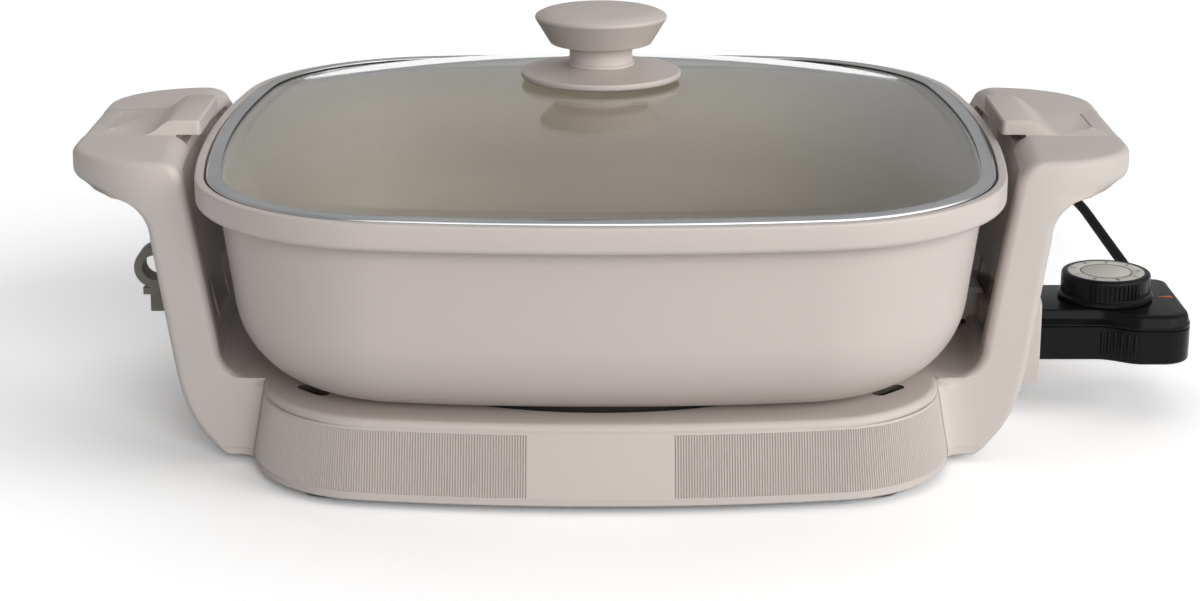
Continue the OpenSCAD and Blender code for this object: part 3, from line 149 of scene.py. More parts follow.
def skin(name: str, rings: Sequence[Ring], closed: bool = False, degrees: float = CRISP) -> Piece:
    """Draws a skin through a stack of rings, from a circle that is extruded ring by ring.

    Args:
        name: The new piece's name.
        rings: Rings of equally many points, in millimetres.
        closed: True where the last ring joins the first, as round a tube's wall.
        degrees: The angle above which an edge stays crisp.

    Returns:
        The finished piece.
    """
    count = len(rings[0])
    deselect()
    bpy.ops.mesh.primitive_circle_add(vertices=count, radius=1.0)
    piece = bpy.context.object
    piece.name = name
    piece.data.name = name
    for vertex, point in zip(piece.data.vertices, rings[0]):
        vertex.co = Vector(point) * MM
    bpy.ops.object.mode_set(mode="EDIT")
    bpy.context.tool_settings.mesh_select_mode = (False, True, False)
    bpy.ops.mesh.select_all(action="SELECT")
    place = {i: i for i in range(count)}
    stack = list(rings[1:]) + ([rings[0]] if closed else [])
    for ring in stack:
        bpy.ops.mesh.extrude_region()
        mesh = bmesh.from_edit_mesh(piece.data)
        mesh.verts.index_update()
        fresh: dict[int, int] = {}
        for vertex in mesh.verts:
            if not vertex.select:
                continue
            for edge in vertex.link_edges:
                other = edge.other_vert(vertex)
                if not other.select and other.index in place:
                    fresh[vertex.index] = place[other.index]
            vertex.co = Vector(ring[fresh[vertex.index]]) * MM
        place = fresh
        bmesh.update_edit_mesh(piece.data)
    if closed:
        bpy.ops.mesh.select_all(action="SELECT")
        bpy.ops.mesh.remove_doubles(threshold=WELD)
    else:
        for ends in (set(range(count)), set(place)):
            mesh = bmesh.from_edit_mesh(piece.data)
            select_ring(mesh, ends)
            bmesh.update_edit_mesh(piece.data)
            bpy.ops.mesh.edge_face_add()
    bpy.ops.mesh.select_all(action="SELECT")
    bpy.ops.mesh.normals_make_consistent(inside=False)
    bpy.ops.object.mode_set(mode="OBJECT")
    return smooth(piece, degrees)


def filleted(corners: Sequence[Point2], radii: Sequence[float], steps: int = 5) -> list[Point2]:
    """Rounds the corners of an open line.

    Args:
        corners: The line's corners.
        radii: A radius for each corner, 0 to keep it sharp.
        steps: How many stretches make each round.

    Returns:
        The points of the rounded line.
    """
    line: list[Point2] = []
    for i, (x, y) in enumerate(corners):
        if radii[i] <= 0 or i in (0, len(corners) - 1):
            line.append((x, y))
            continue
        here = Vector((x, y))
        back = (Vector(corners[i - 1]) - here).normalized()
        ahead = (Vector(corners[i + 1]) - here).normalized()
        half = math.acos(max(-1.0, min(1.0, back.dot(ahead)))) / 2
        reach = radii[i] / math.tan(half)
        centre = here + (back + ahead).normalized() * (radii[i] / math.sin(half))
        start = here + back * reach - centre
        turn = start.angle_signed(here + ahead * reach - centre)
        for k in range(steps + 1):
            spot = centre + Matrix.Rotation(-turn * k / steps, 2) @ start
            line.append((spot.x, spot.y))
    return line


def arc(centre: Point2, radius: float, start: float, end: float, steps: int) -> list[Point2]:
    """Returns an arc's points from one angle to another, in degrees, with both ends."""
    angles = [math.radians(start + (end - start) * k / steps) for k in range(steps + 1)]
    return [(centre[0] + radius * math.cos(a), centre[1] + radius * math.sin(a)) for a in angles]


def ease(t: float) -> float:
    """Holds a fraction between 0 and 1 and gives it a soft start and end."""
    t = min(1.0, max(0.0, t))
    return 3 * t * t - 2 * t ** 3


def turned(name: str, profile: Sequence[Point2], centre: Point2 = (0.0, 0.0), count: int = 96,
           closed: bool = False, axis: str = "Z") -> Piece:
    """Makes a round piece from its profile.

    Args:
        name: The new piece's name.
        profile: Pairs of radius and place along the axis.
        centre: Where the axis stands, in the two directions that follow its own.
        count: How many faces go round.
        closed: True where the last ring joins the first.
        axis: The axis's direction.

    Returns:
        The finished piece.
    """
    rings = []
    for radius, along in profile:
        spots = arc(centre, max(radius, THIN), 0, 360, count)[:-1]
        rings.append([{"X": (along, u, v), "Y": (v, along, u), "Z": (u, v, along)}[axis] for u, v in spots])
    return skin(name, rings, closed)


def wedge(name: str, outline: Sequence[Point2], half: float, y: float = 0.0) -> Piece:
    """Makes a straight bar along Y from an outline in X and Z.

    Args:
        name: The new piece's name.
        outline: Corners as (x, z).
        half: Half of the bar's length.
        y: Where its middle is.

    Returns:
        The new piece.
    """
    return skin(name, [[(x, end, z) for x, z in outline] for end in (y - half, y + half)], degrees=20)


def block(name: str, low: Point3, high: Point3) -> Piece:
    """Makes a box from a low corner to a high corner."""
    (x0, y0, z0), (x1, y1, z1) = low, high
    return wedge(name, [(x0, z0), (x1, z0), (x1, z1), (x0, z1)], (y1 - y0) / 2, (y1 + y0) / 2)


def cut(piece: Piece, *tools: Piece, how: str = "DIFFERENCE") -> None:
    """Cuts or joins tools out of or onto a piece, and removes the tools."""
    for tool in tools:
        modify(piece, "BOOLEAN", object=tool, operation=how, solver="EXACT")
        bpy.data.objects.remove(tool, do_unlink=True)


def mirror(piece: Piece) -> None:
    """Turns a piece's mesh over to the other side of the plane X = 0."""
    piece.data.transform(Matrix.Scale(-1, 4, (1, 0, 0)))
    piece.data.flip_normals()


def joined(pieces: Sequence[Piece], name: str) -> Piece:
    """Joins pieces into one and returns it under a name."""
    deselect()
    for piece in pieces:
        piece.select_set(True)
    bpy.context.view_layer.objects.active = pieces[0]
    bpy.ops.object.join()
    pieces[0].name = name
    pieces[0].data.name = name
    return pieces[0]


def placed(name: str, data: bpy.types.ID) -> Piece:
    """Puts new data in the scene as an object at the origin."""
    piece = bpy.data.objects.new(name, data)
    bpy.context.scene.collection.objects.link(piece)
    return piece


def node_copy(node: str, name: str, flatten: bool = False) -> Piece:
    """Copies a CAD node as a new, welded piece."""
    piece = placed(name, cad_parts[node].data.copy())
    piece.data.name = name
    weld(piece, flatten)
    return piece


def swollen_copy(node: str, grow: float) -> Piece:
    """Copies a small CAD node, swollen by a distance on every side, as a cutting tool."""
    piece = node_copy(node, "node_tool")
    middle = sum((v.co for v in piece.data.vertices), Vector()) / len(piece.data.vertices)
    for vertex in piece.data.vertices:
        away = vertex.co - middle
        vertex.co += Vector([math.copysign(grow * MM, d) if d else 0.0 for d in away])
    return piece


@dataclass(frozen=True)
class BowedSquare:
    """Outline of a square whose sides bow outwards between round corners."""

    half: float
    bow_r: float
    corner_r: float
    side_steps: int = 22
    corner_steps: int = 22
    least_r: float = 2.0

    def points(self, grow: float = 0.0) -> list[Point2]:
        """Returns the outline's points, moved outwards by a distance."""
        half, bow = self.half + grow, self.bow_r + grow
        corner = max(self.corner_r + grow, self.least_r)
        d, k = half - bow, bow - corner
        c = (d + math.sqrt(2 * k * k - d * d)) / 2
        lean = math.degrees(math.atan2(c, c - d))
        quarter = arc((d, 0), bow, -lean, lean, self.side_steps)[:-1]
        quarter += arc((c, c), corner, lean, 90 - lean, self.corner_steps)[:-1]
        turns = [Matrix.Rotation(side * math.pi / 2, 2) for side in range(4)]
        return [tuple(turn @ Vector(spot)) for turn in turns for spot in quarter]

    def ring(self, z: float, grow: float = 0.0) -> Ring:
        """Returns the outline as a level ring."""
        return [(x, y, z) for x, y in self.points(grow)]


# ------------------------------------------------------------------- finishes


class Nodes:
    """A short way to write a material's or a group's nodes."""

    def __init__(self, tree: Tree) -> None:
        """Starts on an empty tree."""
        self.tree = tree
        tree.nodes.clear()

    def put(self, value: object, socket: Socket) -> None:
        """Feeds a socket from another socket or a node's first output, or with a plain value."""
        if isinstance(value, Node):
            value = value.outputs[0]
        if isinstance(value, Socket):
            self.tree.links.new(value, socket)
        else:
            socket.default_value = value

    def add(self, kind: str, *first: object, **values: object) -> Node:
        """Adds a node.

        Args:
            kind: The node's type.
            first: What feeds its first inputs, in their order.
            values: What feeds an input of that name, with spaces written as _, or sets a property.

        Returns:
            The node.
        """
        node = self.tree.nodes.new("ShaderNode" + kind)
        for key, value in values.items():
            socket = node.inputs.get(key.replace("_", " ")) if key[0].isupper() else None
            if socket is None:
                setattr(node, key, value)
            else:
                self.put(value, socket)
        for value, socket in zip(first, node.inputs):
            self.put(value, socket)
        return node

    def blend(self, factor: Socket, low: object, high: object) -> Socket:
        """Mixes two colours and returns the result."""
        node = self.add("Mix", factor, data_type="RGBA")
        for value, socket in ((low, node.inputs[6]), (high, node.inputs[7])):
            self.put(value if isinstance(value, Socket) else (*value, 1.0), socket)
        return node.outputs[2]

    def span(self, value: object, low: float, high: float, start: float = 0.0, end: float = 1.0) -> Socket:
        """Maps a value from start..end to low..high and returns the result."""
        return self.add("MapRange", value, start, end, low, high).outputs[0]

    def maths(self, operation: str, a: object, b: object) -> Socket:
        """Adds a Math node and returns its result."""
        return self.add("Math", a, b, operation=operation).outputs[0]


def new_material(name: str) -> tuple[bpy.types.Material, Nodes]:
    """Makes a material with no nodes yet, and its node writer."""
    material = bpy.data.materials.new(name)
    material.use_nodes = True
    return material, Nodes(material.node_tree)


def new_group(name: str, takes: dict[str, float], gives: Sequence[str]) -> tuple[Tree, Nodes, Node, Node]:
    """Makes an empty shader node group with named number inputs and outputs.

    Args:
        name: The group's name.
        takes: Each input's name and default value.
        gives: Each output's name.

    Returns:
        The group, its node writer, its input node and its output node.
    """
    tree = bpy.data.node_groups.new(name, "ShaderNodeTree")
    for key, value in takes.items():
        tree.interface.new_socket(key, in_out="INPUT", socket_type="NodeSocketFloat").default_value = value
    for key in gives:
        tree.interface.new_socket(key, in_out="OUTPUT", socket_type="NodeSocketFloat")
    nodes = Nodes(tree)
    return tree, nodes, tree.nodes.new("NodeGroupInput"), tree.nodes.new("NodeGroupOutput")


def build_moulded_grain() -> Tree:
    """Fine grain of a moulded or sprayed surface, with slow tone drift and faint handling marks."""
    tree, nodes, takes, gives = new_group(
        "moulded_grain", {"Grain Size": 900.0, "Drift Size": 9.0}, ["Grain", "Drift", "Marks"])
    place = nodes.add("TexCoord").outputs["Object"]
    for key, detail, rough in (("Grain", 3.0, 0.6), ("Drift", 2.0, 0.5)):
        noise = nodes.add("TexNoise", Vector=place, Scale=takes.outputs[key + " Size"], Detail=detail,
                          Roughness=rough)
        nodes.put(noise, gives.inputs[key])
    marks = nodes.add("TexNoise", Vector=place, Scale=55.0, Detail=5.0, Roughness=0.7, Distortion=0.6)
    nodes.put(nodes.span(marks, 0.0, 1.0, 0.56, 0.72), gives.inputs["Marks"])
    return tree


def build_drawn_lines() -> Tree:
    """Fine lines of rolled, drawn or turned metal along one axis."""
    tree, nodes, takes, gives = new_group(
        "drawn_lines", {"Across": 2400.0, "Along": 20.0}, ["Lines", "Stain"])
    place = nodes.add("TexCoord").outputs["Object"]
    stretch = nodes.add("CombineXYZ", *(takes.outputs[key] for key in ("Along", "Along", "Across")))
    stretched = nodes.add("VectorMath", place, stretch, operation="MULTIPLY")
    nodes.put(nodes.add("TexNoise", stretched, Scale=1.0, Detail=2.0), gives.inputs["Lines"])
    nodes.put(nodes.add("TexNoise", place, Scale=18.0, Detail=3.0), gives.inputs["Stain"])
    return tree


class SharedEffects:
    """Holds the node groups that several finishes use."""

    def __init__(self) -> None:
        """Builds each group once."""
        self.grain = build_moulded_grain()
        self.lines = build_drawn_lines()


@dataclass(frozen=True)
class Moulded:
    """A moulded or sprayed finish, such as plastic, rubber or a baked coating."""

    name: str
    colour: Colour
    roughness: float = 0.42
    spread: float = 0.10
    tone: float = 0.04
    grain_size: float = 900.0
    bump: float = 0.04
    coat: float = 0.0
    specular: float = 0.5
    grain_depth: float = 0.0004
    speck_share: float = 1.6
    coat_roughness: float = 0.08

    def tint(self, share: float) -> Colour:
        """Returns the colour made lighter or darker by a share of its tone."""
        return tuple(min(1.0, c * (1 + share * self.tone)) for c in self.colour)

    def build(self, effects: SharedEffects) -> bpy.types.Material:
        """Returns the finish as a material."""
        material, nodes = new_material(self.name)
        grain = nodes.add("Group", node_tree=effects.grain, Grain_Size=self.grain_size)
        drift = nodes.span(grain.outputs["Drift"], 0, 1, 0.3, 0.7)
        speck = nodes.span(grain.outputs["Grain"], 0.0, 0.5, 0.35, 0.8)
        colour = nodes.blend(drift, self.tint(-1), self.tint(1))
        colour = nodes.blend(speck, colour, self.tint(-self.speck_share))
        rough = nodes.span(grain.outputs["Marks"], self.roughness + self.spread / 2,
                           self.roughness - self.spread / 2)
        bump = nodes.add("Bump", Strength=self.bump, Distance=self.grain_depth,
                         Height=grain.outputs["Grain"])
        nodes.add("OutputMaterial", nodes.add(
            "BsdfPrincipled", Base_Color=colour, Roughness=rough, Normal=bump, Coat_Weight=self.coat,
            Specular_IOR_Level=self.specular, Coat_Roughness=self.coat_roughness))
        return material


@dataclass(frozen=True)
class Metal:
    """A bare metal finish with drawn or turned lines and a little staining."""

    name: str
    colour: Colour
    roughness: float = 0.3
    spread: float = 0.12
    across: float = 2400.0
    along: float = 20.0
    bump: float = 0.05
    metallic: float = 1.0
    stain: float = 0.82
    line_depth: float = 0.0002

    def build(self, effects: SharedEffects) -> bpy.types.Material:
        """Returns the finish as a material."""
        material, nodes = new_material(self.name)
        lines = nodes.add("Group", node_tree=effects.lines, Across=self.across, Along=self.along)
        stained = nodes.span(lines.outputs["Stain"], 0, 1, 0.35, 0.7)
        colour = nodes.blend(stained, tuple(c * self.stain for c in self.colour), self.colour)
        rough = nodes.span(lines.outputs["Lines"], self.roughness - self.spread / 2,
                           self.roughness + self.spread / 2, 0.3, 0.7)
        bump = nodes.add("Bump", Strength=self.bump, Distance=self.line_depth,
                         Height=lines.outputs["Lines"])
        nodes.add("OutputMaterial", nodes.add(
            "BsdfPrincipled", Base_Color=colour, Roughness=rough, Normal=bump, Metallic=self.metallic))
        return material


@dataclass(frozen=True)
class ClearGlass:
    """Clear tempered glass with a faint green cast and light smears."""

    name: str
    colour: Colour = (0.97, 0.98, 0.965)
    smear: float = 0.03
    ior: float = 1.45

    def build(self, effects: SharedEffects) -> bpy.types.Material:
        """Returns the finish as a material, which lets light through to what it covers."""
        material, nodes = new_material(self.name)
        smears = nodes.add("Group", node_tree=effects.grain)
        glass = nodes.add("BsdfPrincipled", Roughness=nodes.span(smears.outputs["Marks"], 0.0, self.smear),
                          Base_Color=(*self.colour, 1.0), IOR=self.ior, Transmission_Weight=1.0)
        clear = nodes.add("BsdfTransparent", Color=(*self.colour, 1.0))
        in_shadow = nodes.add("LightPath").outputs["Is Shadow Ray"]
        nodes.add("OutputMaterial", nodes.add("MixShader", in_shadow, glass, clear))
        return material


class Finish(Enum):
    """Every finish on the skillet."""

    PAN_COAT = Moulded("pan_coat", (0.62, 0.555, 0.52), 0.36, 0.06, 0.02, 1500.0, 0.02, coat=0.12)
    PAN_INSIDE = Moulded("pan_inside", (0.50, 0.44, 0.36), 0.34, 0.08, 0.012, 1500.0, 0.01, coat=0.15)
    SHELL = Moulded("shell_plastic", (0.60, 0.54, 0.505), 0.46, 0.08, 0.02, 1100.0, 0.05)
    KNOB = Moulded("knob_plastic", (0.58, 0.52, 0.485), 0.40, 0.08, 0.02, 1100.0, 0.04)
    # Painted shade: a darker copy of the shell plastic for the bottoms of the base's rib grooves.
    GROOVE = Moulded("groove_painted_shade", (0.36, 0.32, 0.295), 0.5, 0.08, 0.02, 1100.0, 0.03)
    # Painted light: a lighter copy of the shell plastic for the liners, standing for light in the recesses
    # between handle and pan.
    SHADE = Moulded("liner_painted_light", (0.76, 0.70, 0.66), 0.55, 0.08, 0.03, 900.0, 0.06)
    # Near-black bottom cover, made dark partly so that the deck's slots look shaded; also painted shade on
    # the slots' own walls.
    COVER = Moulded("cover_and_slot_shade", (0.075, 0.066, 0.058), 0.55, 0.08, 0.04, 900.0, 0.05, specular=0.3)
    CLIP = Moulded("clip_plastic", (0.20, 0.185, 0.16), 0.5, 0.08, 0.03, 900.0, 0.05)
    GUARD = Moulded("guard_plastic", (0.62, 0.57, 0.53), 0.5, 0.08, 0.02, 900.0, 0.05)
    BLACK = Moulded("control_plastic", (0.006, 0.006, 0.0065), 0.17, 0.08, 0.15, 1300.0, 0.015,
                    specular=0.14)
    SOCKET = Moulded("socket_plastic", (0.014, 0.014, 0.014), 0.5, 0.1, 0.15, 900.0, 0.06)
    SWITCH = Moulded("switch_block", (0.07, 0.06, 0.05), 0.45, 0.1, 0.1, 700.0, 0.06)
    RUBBER = Moulded("foot_rubber", (0.012, 0.012, 0.012), 0.75, 0.1, 0.2, 700.0, 0.12)
    CORD = Moulded("cord_jacket", (0.009, 0.009, 0.009), 0.6, 0.08, 0.1, 600.0, 0.06, specular=0.05)
    INLAY = Moulded("pointer_inlay", (0.45, 0.085, 0.018), 0.4, 0.06, 0.05, 900.0, 0.03)
    CERAMIC = Moulded("bushing_ceramic", (0.80, 0.76, 0.68), 0.25, 0.08, 0.03, 600.0, 0.03, coat=0.4)
    PRINT = Moulded("dial_print", (0.05, 0.048, 0.045), 0.5, 0.06, 0.05, 900.0, 0.0)
    BAND = Metal("lid_band_steel", (0.80, 0.805, 0.81), 0.16, 0.05, 600.0, 600.0, 0.008)
    STEEL = Metal("plain_steel", (0.52, 0.53, 0.54), 0.34, 0.12)
    DIAL = Metal("dial_face", (0.80, 0.78, 0.72), 0.42, 0.12, 900.0, 900.0, 0.03, metallic=0.3)
    CAST = Moulded("darkened_casting", (0.06, 0.052, 0.045), 0.5, 0.12, 0.1, 500.0, 0.2, specular=0.35)
    ELEMENT = Metal("element_tube", (0.14, 0.13, 0.12), 0.5, 0.15, 300.0, 300.0, 0.1)
    DARK_STEEL = Moulded("heat_darkened_steel", (0.035, 0.029, 0.023), 0.6, 0.1, 0.08, 500.0, 0.05,
                         specular=0.2)
    BRASS = Metal("contact_brass", (0.62, 0.44, 0.18), 0.3, 0.1)
    GLASS = ClearGlass("lid_glass")


class Dresser:
    """Gives pieces their finishes and bodies."""

    def __init__(self) -> None:
        """Builds every material once."""
        effects = SharedEffects()
        self.materials = {finish: finish.value.build(effects) for finish in Finish}

    def coat(self, piece: Piece, finish: Finish) -> None:
        """Puts one finish on a whole piece."""
        piece.data.materials.clear()
        piece.data.materials.append(self.materials[finish])

    def hang(self, piece: Piece, finish: Finish, body: str, slot: str, *nodes: str) -> Piece:
        """Finishes a new piece, hangs it on its body and reports it.

        Args:
            piece: The piece.
            finish: Its finish.
            body: The CAD body that it moves with.
            slot: The record's material slot; not used.
            nodes: The CAD nodes that it stands for.

        Returns:
            The same piece.
        """
        self.coat(piece, finish)
        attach(piece, body)
        if nodes:
            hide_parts(*nodes)
        faces = len(piece.data.polygons) if piece.type == "MESH" else 0
        LOG.info("%s rides on %s with %d faces", piece.name, body, faces)
        return piece

    def fit(self, node: str, name: str, finish: Finish, body: str, slot: str, width: float = 0.0,
            segments: int = 2, degrees: float = ROUNDED) -> Piece:
        """Hangs a copy of a CAD node in its place, with its flat faces joined and its edges rounded.

        Args:
            node: The CAD node.
            name: The new piece's name.
            finish: Its finish.
            body: The CAD body that it moves with.
            slot: The record's material slot that it takes.
            width: The round's width in millimetres, 0 for none.
            segments: How many faces make the round.
            degrees: The least angle of an edge that is rounded.

        Returns:
            The new piece.
        """
        piece = node_copy(node, name, flatten=True)
        if width > 0:
            soften(piece, width, segments, degrees)
        return self.hang(smooth(piece, degrees), finish, body, slot, node)

    def second(self, piece: Piece, finish: Finish, wanted: Callable[[Vector, Vector], bool]) -> None:
        """Gives some of a piece's faces a second finish.

        Args:
            piece: The piece.
            finish: The second finish.
            wanted: Tells from a face's centre in millimetres and its direction whether it takes the finish.
        """
        piece.data.materials.append(self.materials[finish])
        for face in piece.data.polygons:
            if wanted(face.center / MM, face.normal):
                face.material_index = 1

    def paint(self, finish: Finish, *nodes: str) -> None:
        """Gives CAD nodes that stay in view their finish."""
        for node in nodes:
            self.coat(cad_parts[node], finish)
            LOG.info("%s keeps its solid", node)


# ------------------------------------------------------------------------ pan


@dataclass
class Pan:
    """The square pan with its turned-down rim."""

    outline: BowedSquare = BowedSquare(166.3, 643.0, 88.2, 26, 26)
    rim_z: float = 119.0
    band_h: float = 11.0
    lip_w: float = 3.8
    seat_drop: float = 4.0
    body_half: float = 157.2
    draft: float = 7.4
    floor_r: float = 38.0
    wall: float = 3.0
    floor_z: float = 34.8
    band_w: float = 5.9
    least_corner: float = 22.0
    outer_z: tuple[float, ...] = (78.0, 90.0, 98.0)
    inner_z: tuple[float, ...] = (95.0, 85.0)

    def ring(self, half: float, z: float) -> Ring:
        """Returns the pan's outline at a half width, with no corner too tight."""
        grow = half - self.outline.half
        corner = max(self.outline.corner_r + grow, self.least_corner)
        return BowedSquare(half, self.outline.bow_r + grow, corner, 26, 26).ring(z)

    def line_half(self, z: float) -> float:
        """Half width of the side wall at a height."""
        return self.body_half - (self.rim_z - self.band_h - z) * math.tan(math.radians(self.draft))

    def profile(self) -> list[Point2]:
        """Returns the section of the pan as half width and height, from the underside to the inside."""
        r, draft = self.floor_r, math.radians(self.draft)
        low = self.floor_z + r
        wall_z = low - r * math.sin(draft)
        wall_x = self.line_half(wall_z)
        middle = (wall_x - r * math.cos(draft), low)
        top = self.rim_z - self.band_h
        inset = self.outline.half - self.lip_w
        seat = self.rim_z - self.seat_drop
        seat_in = inset - self.band_w - 2.2
        line = arc(middle, r, -90, -self.draft, 18)
        line += [(self.line_half(z), z) for z in self.outer_z]
        outer = [(self.line_half(top - 8), top - 8), (self.line_half(top), top),
                 (self.outline.half, top), (self.outline.half, self.rim_z),
                 (inset, self.rim_z), (inset, seat), (seat_in, seat),
                 (self.line_half(top) - self.wall, top - 5), (wall_x - self.wall, wall_z)]
        line += filleted(outer, [0, 2.2, 2.6, 1.0, 0.5, 0.4, 1.0, 3.0, 0], 6)[1:-1]
        line += [(self.line_half(z) - self.wall, z) for z in self.inner_z]
        return line + arc(middle, r - self.wall, -self.draft, -90, 18)

    def build(self, dresser: Dresser) -> None:
        """Makes and hangs the pan."""
        piece = skin("pan_body", [self.ring(half, z) for half, z in self.profile()])
        dresser.hang(piece, Finish.PAN_COAT, "pan", "pan_coat", "pan")
        low, high = self.floor_z + self.wall + 1, self.rim_z - self.seat_drop - 1

        def inside(at: Vector, facing: Vector) -> bool:
            """Tells whether a face is on the pan's floor or on the inside of its wall."""
            inward = facing.x * at.x + facing.y * at.y < 0 and facing.z > -0.3
            return (inward and self.floor_z < at.z < high) or (facing.z > 0.9 and at.z < low)

        dresser.second(piece, Finish.PAN_INSIDE, inside)


# ------------------------------------------------------------------------ lid


@dataclass
class Lid:
    """The domed glass, its steel edge band and its knob."""

    outline: BowedSquare = BowedSquare(166.3, 643.0, 88.2, 26, 26)
    seat_z: float = 115.0
    band_out: float = 161.8
    band_w: float = 5.9
    band_h: float = 5.0
    glass_t: float = 3.0
    glass_in: float = 2.0
    rise: float = 22.0
    rise_curve: float = 2.15
    hole_r: float = 4.0
    shield_r: float = 33.8
    shield_t: float = 2.8
    shield_rise: float = 2.4
    neck_r: float = 13.3
    neck_h: float = 9.3
    grip_low_r: float = 21.3
    grip_r: float = 28.3
    cone_h: float = 11.5
    dome_h: float = 4.4

    @property
    def edge_z(self) -> float:
        """Height of the glass's underside at its edge."""
        return self.seat_z + 1.1

    @property
    def top_z(self) -> float:
        """Height of the glass's top at the knob."""
        return self.edge_z + self.glass_t + self.rise

    def at(self, inset: float, z: float) -> Ring:
        """Returns the band's outline, drawn in by a distance."""
        return self.outline.ring(z, self.band_out - inset - self.outline.half)

    def dome_ring(self, f: float, z: float) -> Ring:
        """Returns a ring of the dome, a circle at the knob that turns into the lid's outline at f = 1."""
        half = self.band_out - self.band_w - self.glass_in
        ring: Ring = []
        for x, y in self.outline.points(half - self.outline.half):
            length = math.hypot(x, y)
            reach = (1 - f * f) * half + f * f * length - self.hole_r
            k = (self.hole_r + f * reach) / length
            ring.append((x * k, y * k, z))
        return ring

    def dome_z(self, f: float) -> float:
        """Height of the dome's top face at the fraction f of the way out."""
        return self.top_z - self.rise * f ** self.rise_curve

    def build_glass(self, dresser: Dresser) -> None:
        """Makes the dome as one closed sheet with a hole for the knob's screw."""
        steps = [0.0, 0.03] + [i / 26 for i in range(2, 27)]
        low, thick = self.edge_z, self.glass_t
        under = [self.dome_ring(f, self.dome_z(f) - thick) for f in steps]
        edge = [self.at(inset, low + rise) for inset, rise in (
            (7.0, 0.0), (3.0, 0.0), (1.6, 0.0), (1.2, 0.5), (1.2, thick - 0.5), (1.6, thick - 0.1),
            (3.0, thick - 0.05), (7.0, thick))]
        over = [self.dome_ring(f, self.dome_z(f)) for f in reversed(steps)]
        piece = skin("lid_dome", under + edge + over, closed=True, degrees=50)
        dresser.hang(piece, Finish.GLASS, "lid", "glass", "lid_glass")

    def build_band(self, dresser: Dresser) -> None:
        """Makes the rolled steel channel round the glass."""
        z0, z1, w = self.seat_z, self.seat_z + self.band_h, self.band_w
        corners = [(0.4, z0), (0.0, z0), (0.0, z1), (w, z1), (w, z1 - 0.75), (0.8, z1 - 0.75),
                   (0.8, z0 + 0.8), (w + 0.9, z0 + 0.8), (w + 0.9, z0), (0.5, z0)]
        line = filleted(corners, [0, 0.3, 1.3, 0.35, 0.3, 0.4, 0.2, 0.3, 0.3, 0], 4)
        piece = skin("lid_edge_band", [self.at(inset, z) for inset, z in line], closed=True)
        dresser.hang(piece, Finish.BAND, "lid", "steel_trim", "lid_band")

    def build_knob(self, dresser: Dresser) -> None:
        """Turns the heat shield and the grip."""
        z0 = self.top_z + 0.6
        bore = 2.6
        low = z0 + self.shield_t + self.shield_rise
        shield = filleted(
            [(bore, z0), (self.shield_r, z0 + 0.1), (self.shield_r, z0 + self.shield_t),
             (self.shield_r - 3.4, z0 + self.shield_t + 0.12), (self.neck_r + 1.6, low), (bore, low)],
            [0, 1.1, 1.0, 4.0, 0.2, 0], 6)
        piece = turned("knob_heat_shield", shield, count=128, closed=True)
        dresser.hang(piece, Finish.KNOB, "lid", "greige_shell", "knob_shield")
        neck_top = low + self.neck_h
        cone_top = neck_top + self.cone_h
        grip = filleted(
            [(0.0, low + 16), (2.1, low + 15), (2.1, low), (self.neck_r + 0.9, low),
             (self.neck_r + 0.9, low + 1.1), (self.neck_r, low + 1.6), (self.neck_r, neck_top),
             (self.grip_low_r, neck_top), (self.grip_r, cone_top),
             (self.grip_r - 4.0, cone_top + self.dome_h * 0.55), (0.0, cone_top + self.dome_h)],
            [0, 0, 0, 0.3, 0.5, 0.5, 0.9, 1.4, 1.3, 14.0, 0], 8)
        piece = turned("knob_grip_body", grip, count=128)
        dresser.hang(piece, Finish.KNOB, "lid", "greige_shell", "knob_grip")

    def build(self, dresser: Dresser) -> None:
        """Makes and hangs the whole lid."""
        self.build_glass(dresser)
        self.build_band(dresser)
        self.build_knob(dresser)
        dresser.paint(Finish.RUBBER, "knob_gasket")
        dresser.fit("knob_washer", "knob_lock_washer", Finish.STEEL, "lid", "hardware", 0.15)
        dresser.fit("knob_screw", "knob_fixing_screw", Finish.STEEL, "lid", "hardware")


# ----------------------------------------------------------------------- base


